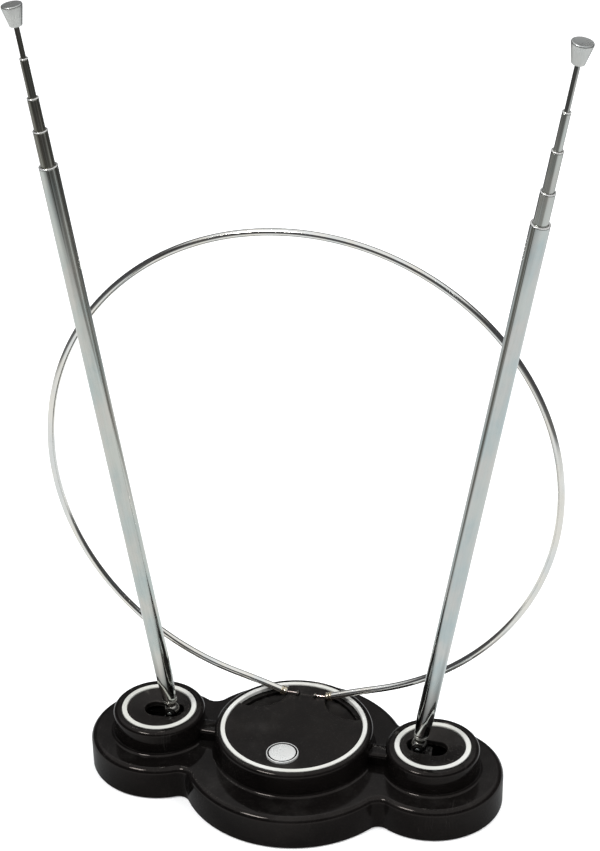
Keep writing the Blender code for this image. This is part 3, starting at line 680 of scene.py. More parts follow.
@dataclass(frozen=True)
class Plating(Finish):
    """Bright plated metal with a cloudy bloom, drawn streaks and tarnish.

    `axis` is where the piece's own length runs, so that the streaks follow it.
    """

    metallic: float = 1.0
    colour: Colour = (0.80, 0.81, 0.82)
    bloom_cool: Colour = (0.70, 0.75, 0.79)
    bloom_warm: Colour = (0.80, 0.74, 0.75)
    tarnish: Colour = (0.24, 0.22, 0.17)
    tarnish_amount: float = 0.2
    roughness: tuple[float, float] = (0.06, 0.18)
    axis: tuple[tuple[float, float, float], tuple[float, float, float]] = ((0, 0, 0), (0, 0, 0))
    streak_scale: float = 1500.0
    streak_depth: float = 2e-6
    pit_scale: float = 2600.0
    wear_amount: float = 0.2
    cool_scale: float = 85.0
    warm_scale: float = 110.0
    scratch_scale: float = 420.0
    scratch_amount: float = 0.8
    scratch_depth: float = 1.5e-6
    wear_scale: float = 900.0
    worn: Colour = (0.93, 0.92, 0.90)
    # Painted shade: a dark reflection painted down one side of the tube, when given.
    band: PaintedShadeBand | None = None

    def dress(self, tree: Tree, where: bpy.types.NodeSocket
              ) -> tuple[bpy.types.NodeSocket, bpy.types.NodeSocket, bpy.types.NodeSocket]:
        """Cloud, streak and tarnish the plating. See Finish.dress."""
        local = tree.add("ShaderNodeMapping", vector_type="TEXTURE")
        tree.feed(local.inputs["Vector"], where)
        local.inputs["Location"].default_value, local.inputs["Rotation"].default_value = self.axis
        along = local.outputs[0]
        cool = Effect.CLOUDS.use(tree, tree.scaled(along, (1.0, 1.0, 0.6)), self.cool_scale)
        warm = Effect.CLOUDS.use(tree, tree.scaled(along, (1.3, 1.1, 0.5), (0.4, 0.2, 1.1)),
                                 self.warm_scale)
        streaks = Effect.DRAWN.use(tree, along, self.streak_scale)
        pits = Effect.GRAIN.use(tree, along, self.pit_scale)
        lines = Effect.SCRATCHES.use(tree, along, self.scratch_scale, self.scratch_amount)
        wear = Effect.WEAR.use(tree, along, self.wear_scale, self.wear_amount)
        colour = tree.mix(tree.sum("MULTIPLY", cool, 0.75), self.colour, self.bloom_cool)
        colour = tree.mix(tree.sum("MULTIPLY", warm, 0.55), colour, self.bloom_warm)
        dull = tree.sum("MULTIPLY", tree.sum("ADD", cool, streaks), 0.35)
        dull = tree.sum("MULTIPLY", tree.sum("ADD", dull, 0.65), self.tarnish_amount, clamp=True)
        colour = tree.mix(dull, colour, self.tarnish)
        # Painted shade: darken one side of the tube with a painted dark reflection.
        if self.band:
            colour = tree.mix(self.aged(tree, along), colour, self.band.colour)
        colour = tree.mix(wear, colour, self.worn)
        low, high = self.roughness
        rough = tree.spread(tree.sum("ADD", tree.sum("MULTIPLY", cool, 0.6),
                                     tree.sum("MULTIPLY", streaks, 0.4)), 0.0, 1.0, low, high)
        rough = tree.sum("ADD", rough, tree.sum("MULTIPLY", lines, 0.22), clamp=True)
        relief = tree.bump(streaks, self.streak_depth)
        relief = tree.bump(pits, self.streak_depth * 0.6, relief)
        return colour, rough, tree.bump(lines, -self.scratch_depth, relief)

    def aged(self, tree: Tree, along: bpy.types.NodeSocket) -> bpy.types.NodeSocket:
        """Painted shade down one side of a tube: a dark reflection painted into the colour, wider
        towards its top, in fine lines.

        Args:
            tree: The material's tree.
            along: Coordinates with Z along the tube.

        Returns:
            How much painted shade there is, from 0 to 1.
        """
        flat = tree.add("ShaderNodeVectorMath", operation="NORMALIZE")
        tree.feed(flat.inputs[0], tree.scaled(along, (1.0, 1.0, 0.0)))
        facing = tree.add("ShaderNodeVectorMath", operation="DOT_PRODUCT")
        tree.feed(facing.inputs[0], flat.outputs[0])
        facing.inputs[1].default_value = self.band.towards
        split = tree.add("ShaderNodeSeparateXYZ")
        tree.feed(split.inputs[0], along)
        edge = tree.spread(split.outputs["Z"], *self.band.heights, *self.band.edges)
        across = tree.sum("SUBTRACT", facing.outputs["Value"], edge)
        side = tree.spread(across, 0.0, 0.22)
        rim = tree.spread(facing.outputs["Value"], 0.86, 0.99, 1.0, 0.45)
        threads = tree.noise(flat.outputs[0], self.band.threads, 3.0, 0.7)
        lines = tree.spread(threads, 0.47, 0.60, 1.0, 0.30)
        return tree.sum("MULTIPLY", tree.sum("MULTIPLY", side, rim),
                        tree.sum("MULTIPLY", lines, self.band.strength), clamp=True)


@dataclass(frozen=True)
class Board(Finish):
    """Pressed fibre sheet with its flecks."""

    colour: Colour = (0.30, 0.16, 0.07)
    fleck: Colour = (0.42, 0.27, 0.13)

    def dress(self, tree: Tree, where: bpy.types.NodeSocket
              ) -> tuple[bpy.types.NodeSocket, bpy.types.NodeSocket, bpy.types.NodeSocket]:
        """Fleck the sheet along its rolling direction. See Finish.dress."""
        fibres = tree.noise(tree.scaled(where, (0.25, 1.0, 1.0)), 1800.0, 4.0, 0.65)
        colour = tree.mix(tree.spread(fibres, 0.4, 0.65), self.colour, self.fleck)
        return colour, tree.spread(fibres, 0.3, 0.7, 0.45, 0.7), tree.bump(fibres, 3e-5)


WARM_GLOSS = (1.0, 0.90, 0.84)
GLOSS_BLACK = Moulding(
    "gloss_black", specular=0.19, tint=WARM_GLOSS, colour=(0.0028, 0.0024, 0.0023),
    shade=(0.0045, 0.0038, 0.0036), worn=(0.035, 0.032, 0.030), roughness=(0.05, 0.13),
    grain_scale=1500.0, grain_depth=1.5e-6,
    ripple_depth=2.4e-5, dust_amount=0.035, wear_amount=0.25, scratch_amount=0.5)
SATIN_BLACK = Moulding(
    "satin_black", specular=0.14, tint=WARM_GLOSS, colour=(0.0045, 0.0040, 0.0038),
    shade=(0.0075, 0.0066, 0.006), worn=(0.05, 0.047, 0.043), roughness=(0.30, 0.42),
    grain_scale=2100.0, grain_depth=2.4e-5,
    dust_amount=0.05, wear_amount=0.4, scratch_amount=0.3)
DISH_BLACK = Moulding(
    "dish_black", specular=0.20, tint=WARM_GLOSS, colour=(0.0045, 0.0040, 0.0038),
    shade=(0.0075, 0.0066, 0.006), worn=(0.06, 0.055, 0.05), roughness=(0.26, 0.36),
    grain_scale=2600.0, grain_depth=1.2e-5,
    dust_amount=0.04, wear_amount=0.5, scratch_amount=0.4)
IVORY_TRIM = Moulding(
    "ivory_trim", specular=0.4, colour=(0.60, 0.60, 0.575), shade=(0.54, 0.54, 0.50),
    worn=(0.40, 0.39, 0.35), dust=(0.30, 0.28, 0.24), roughness=(0.28, 0.42), grain_scale=1800.0,
    grain_depth=4e-6, dust_amount=0.12, wear_amount=0.35, scratch_amount=0.5)
SOFT_RUBBER = Moulding(
    "soft_rubber", specular=0.3, colour=(0.016, 0.016, 0.016), shade=(0.028, 0.027, 0.026),
    worn=(0.10, 0.10, 0.095), roughness=(0.62, 0.85), grain_scale=1300.0, grain_depth=4e-5,
    dust_amount=0.25, wear_amount=0.6, scratch_amount=0.2)
FERRITE_GREY = Moulding(
    "ferrite_grey", specular=0.4, colour=(0.045, 0.045, 0.048), shade=(0.07, 0.07, 0.072),
    worn=(0.16, 0.16, 0.16), roughness=(0.45, 0.6), grain_scale=2500.0, grain_depth=1.5e-5,
    dust_amount=0.2)
WIRE_RED = Moulding(
    "wire_red", specular=0.45, colour=(0.22, 0.03, 0.025), shade=(0.30, 0.05, 0.04),
    worn=(0.40, 0.12, 0.10), roughness=(0.35, 0.5), grain_scale=1600.0, grain_depth=8e-6,
    dust_amount=0.2)
FIBRE = Board("fibre_sheet", specular=0.4)
LIP_CHROME = Plating(
    "lip_chrome", metallic=0.7, colour=(0.80, 0.80, 0.78), bloom_cool=(0.72, 0.74, 0.74),
    bloom_warm=(0.82, 0.80, 0.76), tarnish_amount=0.05, roughness=(0.10, 0.20))
CAP_METAL = Plating(
    "cap_metal", metallic=0.88, colour=(0.56, 0.575, 0.56), bloom_cool=(0.50, 0.52, 0.52),
    bloom_warm=(0.60, 0.60, 0.57), tarnish_amount=0.08, roughness=(0.26, 0.36),
    streak_depth=4e-6, pit_scale=2200.0, wear_amount=0.8)
HINGE_METAL = Plating(
    "hinge_metal", colour=(0.03, 0.029, 0.027), bloom_cool=(0.02, 0.02, 0.02),
    bloom_warm=(0.04, 0.035, 0.03), tarnish=(0.018, 0.016, 0.014), tarnish_amount=0.4,
    roughness=(0.36, 0.5), streak_depth=6e-6, wear_amount=0.08)
KNUCKLE_METAL = Plating(
    "knuckle_metal", colour=(0.40, 0.40, 0.38), bloom_cool=(0.24, 0.25, 0.25),
    bloom_warm=(0.48, 0.46, 0.42), tarnish_amount=0.35, roughness=(0.14, 0.32),
    streak_depth=1.2e-5, pit_scale=1400.0, wear_amount=0.8)
BADGE_METAL = Plating(
    "badge_metal", metallic=0.3, colour=(0.62, 0.63, 0.62), bloom_cool=(0.56, 0.58, 0.58),
    bloom_warm=(0.64, 0.63, 0.61), tarnish_amount=0.05, roughness=(0.22, 0.32), wear_amount=0.7)
BRASS_METAL = Plating(
    "worn_brass", colour=(0.66, 0.47, 0.22), bloom_cool=(0.50, 0.38, 0.20),
    bloom_warm=(0.72, 0.50, 0.30), tarnish=(0.20, 0.13, 0.06), tarnish_amount=0.35,
    roughness=(0.2, 0.38))
COLLAR_METAL = Plating(
    "collar_metal", colour=(0.62, 0.56, 0.44), bloom_cool=(0.50, 0.46, 0.38),
    bloom_warm=(0.66, 0.54, 0.38), tarnish_amount=0.25, roughness=(0.14, 0.28))
CLIP_METAL = Plating(
    "clip_metal", colour=(0.05, 0.042, 0.032), bloom_cool=(0.035, 0.032, 0.028),
    bloom_warm=(0.07, 0.055, 0.035), tarnish=(0.03, 0.022, 0.014), tarnish_amount=0.4,
    roughness=(0.3, 0.45))
STEEL_METAL = Plating(
    "zinc_steel", colour=(0.50, 0.51, 0.52), bloom_cool=(0.42, 0.45, 0.47),
    bloom_warm=(0.52, 0.50, 0.44), tarnish_amount=0.2, roughness=(0.28, 0.45), streak_depth=5e-6)
IRON_METAL = Plating(
    "cast_iron", colour=(0.13, 0.125, 0.12), bloom_cool=(0.10, 0.10, 0.10),
    bloom_warm=(0.17, 0.14, 0.12), tarnish=(0.10, 0.05, 0.03), tarnish_amount=0.35,
    roughness=(0.55, 0.75), streak_scale=300.0, streak_depth=4e-5, pit_scale=900.0)
LOOP_CHROME = Plating(
    "loop_chrome", colour=(0.82, 0.82, 0.80), bloom_cool=(0.72, 0.74, 0.73),
    bloom_warm=(0.86, 0.80, 0.70), tarnish_amount=0.08, roughness=(0.07, 0.16))
PIN_METAL = Plating(
    "pin_metal", colour=(0.66, 0.54, 0.49), bloom_cool=(0.62, 0.56, 0.54),
    bloom_warm=(0.70, 0.52, 0.44), tarnish_amount=0.1, roughness=(0.16, 0.28))


# ---------------------------------------------------------------- base

@dataclass
class Lobes:
    """Places in the base that several pieces share, read from the frame."""

    offset: float = field(init=False)
    drum_top: float = field(init=False)
    disc_top: float = field(init=False)

    def __post_init__(self) -> None:
        """Measure the frame's nodes."""
        low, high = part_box("right_ring")
        self.offset = (low.x + high.x) / 2
        self.drum_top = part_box("base_shell")[1].z
        self.disc_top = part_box("middle_disc")[1].z

    def over(self, side: Side) -> Matrix:
        """A shift onto the middle of one end lobe."""
        return at(side.sign * self.offset)


@dataclass
class BaseShell:
    """The one-piece glossy moulding: lobed tier, three drums and two bridges."""

    lobes: Lobes
    middle_radius: float = 46.8 * MM
    end_radius: float = 29.0 * MM
    neck_fillet: float = 4.5 * MM
    bottom: float = 0.6 * MM
    tier_top: float = 15.0 * MM
    tier_rounding: float = 2.6 * MM
    wall: float = 2.4 * MM
    middle_drum: float = 32.8 * MM
    end_drum: float = 19.2 * MM
    drum_rounding: float = 1.9 * MM
    drum_root: float = 13.5 * MM
    foot_cove: float = 1.6 * MM
    ledge_top: float = 24.4 * MM
    ledge_bottom: float = 22.2 * MM
    middle_opening: float = 26.5 * MM
    end_opening: float = 12.0 * MM
    middle_recess: float = 30.6 * MM
    end_recess: float = 15.84 * MM
    bridge_span: tuple[float, float] = (31.0 * MM, 41.0 * MM)
    bridge_half_width: float = 4.2 * MM
    bridge_top: float = 20.2 * MM
    bridge_rounding: float = 1.7 * MM
    screw_places: tuple[Point, ...] = tuple((x * MM, y * MM) for x in (-41, 41) for y in (-12, 12))
    chamber_bottom: float = 10.5 * MM
    ledge_lip: float = 0.12 * MM
    clear: float = 2 * MM
    bridge_root: float = 12 * MM
    foot_rounding: float = 0.3 * MM
    gland_hole: float = 4.2 * MM
    gland_reach: float = 4 * MM
    boss_radii: tuple[float, float] = (1.5 * MM, 3.0 * MM)
    boss_heights: tuple[float, float, float] = (3.4 * MM, 11 * MM, 13.4 * MM)
    middle_steps: int = 160
    end_steps: int = 128

    def outline(self, inset: float = 0.0) -> list[Point]:
        """The base's plan: three circles along X with small fillets where they meet.

        Args:
            inset: How far inside the real outline it lies.

        Returns:
            Points round the plan.
        """
        middle, end = self.middle_radius - inset, self.end_radius - inset
        fillet, offset = self.neck_fillet + inset, self.lobes.offset
        neck_x = ((middle + fillet) ** 2 - (end + fillet) ** 2 + offset ** 2) / (2 * offset)
        neck_y = sqrt((middle + fillet) ** 2 - neck_x ** 2)
        on_middle = degrees(atan2(neck_y, neck_x))
        on_end = degrees(atan2(neck_y, neck_x - offset))
        quarter = arc((offset, 0), end, 0, on_end, 44)[1:]
        quarter += arc((neck_x, neck_y), fillet, on_end + 180, on_middle + 180, 14)[1:-1]
        quarter += arc((0, 0), middle, on_middle, 90, 26)
        rear = quarter + [(-x, y) for x, y in reversed(quarter[:-1])]
        front = [(-x, -y) for x, y in rear]
        return [(offset + end, 0)] + rear + [(-offset - end, 0)] + front

    def drum(self, radius: float, steps: int) -> Form:
        """A drum with a rounded rim and a coved foot."""
        cove = arc((radius + self.foot_cove, self.tier_top + self.foot_cove), self.foot_cove,
                   262, 180, 6)
        corners = [(0, self.drum_root, 0), (cove[0][0], self.drum_root, 0)]
        corners += [(r, z, 0) for r, z in cove]
        corners += [(radius, self.lobes.drum_top, self.drum_rounding), (0, self.lobes.drum_top, 0)]
        return spun(corners, steps, segments=8)

    def hollow(self, radius: float, opening: float, recess: float, steps: int) -> Form:
        """The space inside a drum: chamber, opening, and the ledge that a ring sits on."""
        chamber, lip, top = radius - self.wall, self.ledge_lip, self.lobes.drum_top
        corners = [(0, self.chamber_bottom, 0), (chamber, self.chamber_bottom, 0),
                   (chamber, self.ledge_bottom, 0), (opening, self.ledge_bottom, 0),
                   (opening, self.ledge_top, 0), (recess, self.ledge_top, 0),
                   (recess, top - lip, 0), (recess + lip, top, 0),
                   (recess + lip, top + self.clear, 0), (0, top + self.clear, 0)]
        return spun(corners, steps)

    def bridge(self, side: Side) -> Form:
        """The half-height web between two drums, with rounded long edges."""
        inner, outer = sorted(side.sign * x for x in self.bridge_span)
        form = block((inner, -self.bridge_half_width, self.bridge_root),
                     (outer, self.bridge_half_width, self.bridge_top))
        top = self.bridge_top - MERGE

        def long_and_high(edge: bmesh.types.BMEdge) -> bool:
            """Whether an edge runs along the web's top."""
            first, last = (point.co for point in edge.verts)
            return min(first.z, last.z) > top and abs(first.x - last.x) > MM

        return eased(form, long_and_high, self.bridge_rounding, segments=8)

    def form(self) -> Form:
        """The whole moulding, hollow underneath."""
        tier = prism(self.outline(), self.bottom, self.tier_top)
        top = self.tier_top - MERGE
        eased(tier, lambda edge: all(point.co.z > top for point in edge.verts),
              self.tier_rounding, segments=9)
        base_edge = self.bottom + MERGE
        eased(tier, lambda edge: all(point.co.z < base_edge for point in edge.verts),
              self.foot_rounding, segments=2)
        joins = [self.drum(self.middle_drum, self.middle_steps)]
        joins += [moved(self.drum(self.end_drum, self.end_steps), self.lobes.over(side))
                  for side in Side]
        joins += [self.bridge(side) for side in Side]
        solid = combined(tier, joins, "UNION")
        cuts = [prism(self.outline(self.wall), -self.clear, self.tier_top - self.wall),
                self.hollow(self.middle_drum, self.middle_opening, self.middle_recess,
                            self.middle_steps)]
        cuts += [moved(self.hollow(self.end_drum, self.end_opening, self.end_recess,
                                   self.end_steps), self.lobes.over(side)) for side in Side]
        low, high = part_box("cable_gland")
        hole = bar(self.gland_hole, -self.gland_reach, self.gland_reach, 40)
        cuts.append(moved(hole, at(0, self.middle_radius - MM, (low.z + high.z) / 2) @ ALONG_Y))
        shell = combined(solid, cuts, "DIFFERENCE")
        (bore, outer), (foot, depth, top) = self.boss_radii, self.boss_heights
        boss = [(bore, foot, 0), (outer, foot, 0), (outer, top, 0), (0, top, 0), (0, depth, 0),
                (bore, depth, 0)]
        bosses = [moved(spun(boss, 24, closed=True), at(x, y)) for x, y in self.screw_places]
        return combined(shell, bosses, "UNION")

    def build(self) -> None:
        """Make the moulding."""
        piece("moulded_base", self.form(), "base", GLOSS_BLACK.material(),
              ["base_shell"], sharp=28.0, weighted=True)


@dataclass
class Trim:
    """The pale rings set into the drum tops."""

    middle_inner: float = 28.5 * MM
    end_inner: float = 13.5 * MM
    shoulder: float = 0.32 * MM
    steps: int = 160

    def ring(self, name: str, node: str, inner: float) -> None:
        """One ring in its node's place.

        Args:
            name: The piece's name.
            node: The frame's node that it is shown instead of.
            inner: Its inner radius.
        """
        low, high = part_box(node)
        outer, place = (high.x - low.x) / 2, (low.x + high.x) / 2
        corners = [(inner, low.z, 0), (outer, low.z, 0), (outer, high.z, self.shoulder),
                   (inner, high.z, self.shoulder)]
        form = moved(spun(corners, self.steps, closed=True, segments=5), at(place))
        piece(name, form, "base", IVORY_TRIM.material(), [node])

    def build(self) -> None:
        """Make the three rings."""
        self.ring("centre_trim", "middle_ring", self.middle_inner)
        for side in Side:
            self.ring(f"{side.value}_trim", f"{side.value}_ring", self.end_inner)


@dataclass
class CentreDisc:
    """The satin disc with two scooped pockets, and the plain badge set in it."""

    lobes: Lobes
    flange: float = 28.2 * MM
    body: float = 26.2 * MM
    seat: float = 24.7 * MM
    thickness: float = 4.2 * MM
    pocket_centre: Point = (21.0 * MM, 22.0 * MM)
    pocket_radius: float = 12.7 * MM
    pocket_floor: float = 23.2 * MM
    pocket_lip: float = 0.45 * MM
    pocket_rounding: float = 1.3 * MM
    clear: float = 4 * MM
    pin_line: Point = (21.5 * MM, 26.6 * MM)
    pin_groove: float = 0.9 * MM
    clip_slit: tuple[float, float] = (3.1 * MM, 4.4 * MM)
    slit_heights: tuple[float, float] = (18 * MM, 30 * MM)
    slit_half_width: float = 1.4 * MM
    badge_y: float = -18.8 * MM
    badge_radius: float = 6.6 * MM
    badge_sink: float = 0.9 * MM
    badge_gap: float = 0.25 * MM
    channel: tuple[float, float] = (0.45 * MM, 1.15 * MM)
    channel_depth: float = 0.35 * MM
    enamel_depth: float = 0.22 * MM

    def scoop(self, side: Side) -> Form:
        """What is taken out for one pocket, flared where it meets the disc's face."""
        top, radius, lip = self.lobes.disc_top, self.pocket_radius, self.pocket_lip
        corners = [(0, self.pocket_floor, 0), (radius, self.pocket_floor, self.pocket_rounding)]
        corners += [(r, z, 0) for r, z in arc((radius + lip, top - lip), lip, 180, 90, 5)]
        corners += [(radius + lip, top + self.clear, 0), (0, top + self.clear, 0)]
        x, y = self.pocket_centre
        return moved(spun(corners, 120, segments=6), at(side.sign * x, y))

    def form(self) -> Form:
        """The disc with its pockets, pin groove, clip slits and badge seat."""
        top = self.lobes.disc_top
        corners = [(0, top - self.thickness, 0), (self.body, top - self.thickness, 0),
                   (self.body, self.seat, 0), (self.flange, self.seat, 0),
                   (self.flange, top, 0.3 * MM), (0, top, 0)]
        disc = spun(corners, 160, segments=4)
        half = self.pocket_centre[0] - self.pocket_radius + 2 * MM
        groove = bar(self.pin_groove, -half, half, 32)
        y, z = self.pin_line
        cuts = [self.scoop(side) for side in Side] + [moved(groove, at(0, y, z) @ ALONG_X)]
        for side in Side:
            low, high = sorted(side.sign * x for x in self.clip_slit)
            foot, head = self.slit_heights
            cuts.append(block((low, y - self.slit_half_width, foot),
                              (high, y + self.slit_half_width, head)))
        seat, lip = self.badge_radius + self.badge_gap, self.badge_gap
        recess = [(0, top - self.badge_sink, 0), (seat, top - self.badge_sink, 0)]
        recess += [(r, z, 0) for r, z in arc((seat + lip, top - lip), lip, 180, 90, 4)]
        recess += [(seat + lip, top + self.clear, 0), (0, top + self.clear, 0)]
        cuts.append(moved(spun(recess, 96), at(0, self.badge_y)))
        return combined(disc, cuts, "DIFFERENCE")

    def badge(self) -> Form:
        """A plain round badge: thin raised rim, a channel for enamel and a low domed middle."""
        low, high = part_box("badge")
        radius, top = self.badge_radius, high.z
        outer, inner = (radius - edge for edge in self.channel)
        floor = top - self.channel_depth
        corners = [(0, low.z, 0), (radius, low.z, 0), (radius, top, 0.3 * MM),
                   (outer, top, 0.1 * MM), (outer, floor, 0),
                   (inner, floor, 0), (inner, top - 0.08 * MM, 0.12 * MM),
                   (radius * 0.35, top - 0.01 * MM, 0.6 * MM), (0, top, 0)]
        return moved(spun(corners, 112, segments=4), at(0, self.badge_y))

    def enamel(self) -> Form:
        """The dark enamel that lies in the badge's channel."""
        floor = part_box("badge")[1].z - self.channel_depth
        top, ease = floor + self.enamel_depth, 0.08 * MM
        outer, inner = (self.badge_radius - edge for edge in self.channel)
        corners = [(inner, floor, 0), (outer, floor, 0), (outer, top, ease), (inner, top, ease)]
        return moved(spun(corners, 112, closed=True, segments=3), at(0, self.badge_y))

    def build(self) -> None:
        """Make the disc and the badge."""
        piece("centre_disc", self.form(), "base", SATIN_BLACK.material(),
              ["middle_disc"], sharp=30.0, weighted=True)
        piece("round_badge", self.badge(), "base", BADGE_METAL.material(),
              ["badge"])
        piece("badge_enamel", self.enamel(), "base", GLOSS_BLACK.material(),
              ["badge"])


@dataclass
class SlottedDish:
    """A shallow dished disc with the long slot that its mast swings in."""

    lobes: Lobes
    side: Side
    flange: float = 13.2 * MM
    body: float = 11.7 * MM
    seat: float = 24.7 * MM
    underside: float = 22.7 * MM
    edge: float = 25.9 * MM
    middle: float = 24.1 * MM
    slot_radius: float = 4.6 * MM
    slot_run: float = 3.7 * MM
    slot_inset: float = 2.3 * MM
    slot_heights: tuple[float, float] = (20 * MM, 21 * MM)
    slot_clear: float = 6 * MM
    lip: float = 0.5 * MM
    lip_steps: int = 5

    def surface(self, x: float, y: float) -> float:
        """Height of the dish's face over a point, measured from the lobe's middle."""
        share = min(sqrt(x * x + y * y) / self.flange, 1.0)
        return self.middle + (self.edge - self.middle) * share

    def slot(self) -> Form:
        """What is taken out for the slot, flared along the dish's own face."""
        inset = -self.side.sign * self.slot_inset

        def outline(grow: float) -> list[Point]:
            """Points round the slot, widened by some amount."""
            radius = self.slot_radius + grow
            right = arc((inset + self.slot_run, 0), radius, -90, 90, 28)
            left = arc((inset - self.slot_run, 0), radius, 90, 270, 28)
            return right + left

        form = prism(outline(0.0), *self.slot_heights)
        rings = [(self.lip * (1 - cos(a)), self.lip * (sin(a) - 1)) for a in
                 (radians(90 * i / self.lip_steps) for i in range(self.lip_steps + 1))]
        rings.append((self.lip, self.slot_clear))
        for grow, rise in rings:
            bmesh.ops.extrude_discrete_faces(form, faces=[self.lid(form)])
            for point, (x, y) in zip(self.ordered(self.lid(form)), outline(grow)):
                point.co = (x, y, self.surface(x, y) + rise)
        bmesh.ops.recalc_face_normals(form, faces=form.faces)
        return form

    def lid(self, form: Form) -> bmesh.types.BMFace:
        """The many-sided face on top of a shape."""
        return max(form.faces, key=lambda face: face.calc_center_median().z * len(face.verts))

    def ordered(self, face: bmesh.types.BMFace) -> list[bmesh.types.BMVert]:
        """A face's points in the slot outline's own order."""
        start = -self.side.sign * self.slot_inset + self.slot_run
        points = list(face.verts)
        first = min(range(len(points)), key=lambda i: (
            (points[i].co.x - start) ** 2 + (points[i].co.y + 1.0) ** 2))
        turned = points[first:] + points[:first]
        return turned if turned[1].co.x > turned[0].co.x else [turned[0]] + turned[:0:-1]

    def build(self) -> None:
        """Make the dish."""
        corners = [(0, self.underside, 0), (self.body, self.underside, 0),
                   (self.body, self.seat, 0), (self.flange, self.seat, 0),
                   (self.flange, self.edge, 0.15 * MM)]
        corners += [(self.flange * k / 6, self.surface(self.flange * k / 6, 0), 0)
                    for k in range(5, -1, -1)]
        dish = combined(spun(corners, 128), [self.slot()], "DIFFERENCE")
        piece(f"{self.side.value}_slotted_dish", moved(dish, self.lobes.over(self.side)), "base",
              DISH_BLACK.material(), [f"{self.side.value}_dish"], sharp=35.0)


@dataclass
class Underside:
    """Plate, screws and rubber pads under the base, and the grommet at its back."""

    shell: BaseShell
    plate_gap: float = 0.3 * MM
    plate_rounding: float = 0.4 * MM
    hole: float = 1.6 * MM
    recess_arm: float = 1.7 * MM
    recess_width: float = 0.5 * MM
    recess_depth: float = 1.0 * MM
    thread_radii: tuple[float, float] = (1.0 * MM, 1.2 * MM)
    thread_pitch: float = 0.7 * MM
    threads: int = 10
    grooves: tuple[float, float] = (0.88, 0.62)
    groove_half_width: float = 0.6 * MM
    groove_depth: float = 0.4 * MM

    def plate(self) -> Form:
        """The sheet steel plate with its screw holes and a rolled edge."""
        low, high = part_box("bottom_plate")
        form = prism(self.shell.outline(self.shell.wall + self.plate_gap), low.z, high.z)
        edge = low.z + MERGE
        eased(form, lambda item: all(point.co.z < edge for point in item.verts),
              self.plate_rounding, segments=3)
        drills = [moved(bar(self.hole, 0, 5 * MM, 32), at(x, y))
                  for x, y in self.shell.screw_places]
        return combined(form, drills, "DIFFERENCE")

    def screw(self, x: float, y: float, turn: float) -> Form:
        """A pan-head screw with a cross recess.

        Args:
            x: Its place along X.
            y: Its place along Y.
            turn: How far its recess is turned, in radians.

        Returns:
            The screw.
        """
        root, crest = self.thread_radii
        corners = [(0, 0.3 * MM, 0), (1.6 * MM, 0.33 * MM, 0.5 * MM),
                   (2.6 * MM, 0.75 * MM, 0.2 * MM), (2.6 * MM, 1.2 * MM, 0.08 * MM),
                   (crest, 1.2 * MM, 0)]
        for turns in range(self.threads):
            height = 2.2 * MM + turns * self.thread_pitch
            corners += [(root, height, 0), (crest, height + self.thread_pitch / 2, 0)]
        corners += [(0.9 * MM, 9.3 * MM, 0), (0, 9.5 * MM, 0)]
        arm, width, deep = self.recess_arm, self.recess_width, self.recess_depth
        cross = [block((-arm, -width / 2, -MM), (arm, width / 2, deep)),
                 block((-width / 2, -arm, -MM), (width / 2, arm, deep))]
        form = combined(spun(corners, 40, segments=3), cross, "DIFFERENCE")
        return moved(form, at(x, y) @ Matrix.Rotation(turn, 4, "Z"))

    def pad(self, name: str, node: str, steps: int) -> None:
        """A rubber pad with an eased edge and two shallow grooves to grip with."""
        low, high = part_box(node)
        radius, place = (high.x - low.x) / 2, (low.x + high.x) / 2
        corners = [(0, high.z, 0), (radius, high.z, 0), (radius, low.z, 0.35 * MM)]
        floor = low.z + self.groove_depth
        for share in self.grooves:
            outer = radius * share + self.groove_half_width
            inner = radius * share - self.groove_half_width
            corners += [(outer, low.z, 0.12 * MM), (outer, floor, 0.1 * MM),
                        (inner, floor, 0.1 * MM), (inner, low.z, 0.12 * MM)]
        corners.append((0, low.z, 0))
        form = moved(spun(corners, steps, segments=3), at(place))
        piece(name, form, "base", SOFT_RUBBER.material(), [node])

    def grommet(self) -> Form:
        """The ribbed rubber outlet that a lead leaves through."""
        low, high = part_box("cable_gland")
        bore, rib, neck, face = 3.0 * MM, 4.5 * MM, 3.9 * MM, self.shell.middle_radius
        corners = [(bore, low.y - face, 0.2 * MM), (rib, low.y - face, 0.3 * MM),
                   (rib, -3.1 * MM, 0.1 * MM), (neck, -3.1 * MM, 0), (neck, 0.3 * MM, 0),
                   (5.4 * MM, 0.3 * MM, 0.15 * MM), (5.15 * MM, 1.2 * MM, 0.3 * MM),
                   (rib, 1.25 * MM, 0.1 * MM), (4.3 * MM, high.y - face, 0.25 * MM),
                   (bore, high.y - face, 0.35 * MM)]
        return moved(spun(corners, 64, closed=True),
                     at(0, face, (low.z + high.z) / 2) @ ALONG_Y)

    def build(self) -> None:
        """Make the plate, screws, pads and grommet."""
        piece("base_plate", self.plate(), "base", STEEL_METAL.material(),
              ["bottom_plate"], weighted=True)
        for number in range(1, 5):
            node = f"plate_screw_{number}"
            low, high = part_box(node)
            form = self.screw((low.x + high.x) / 2, (low.y + high.y) / 2, 0.7 * number)
            piece(f"{node}_head", form, "base", STEEL_METAL.material(), [node])
        self.pad("middle_foot_pad", "middle_pad", 144)
        for side in Side:
            self.pad(f"{side.value}_foot_pad", f"{side.value}_pad", 112)
        piece("rear_grommet", self.grommet(), "base", SOFT_RUBBER.material(),
              ["cable_gland"])


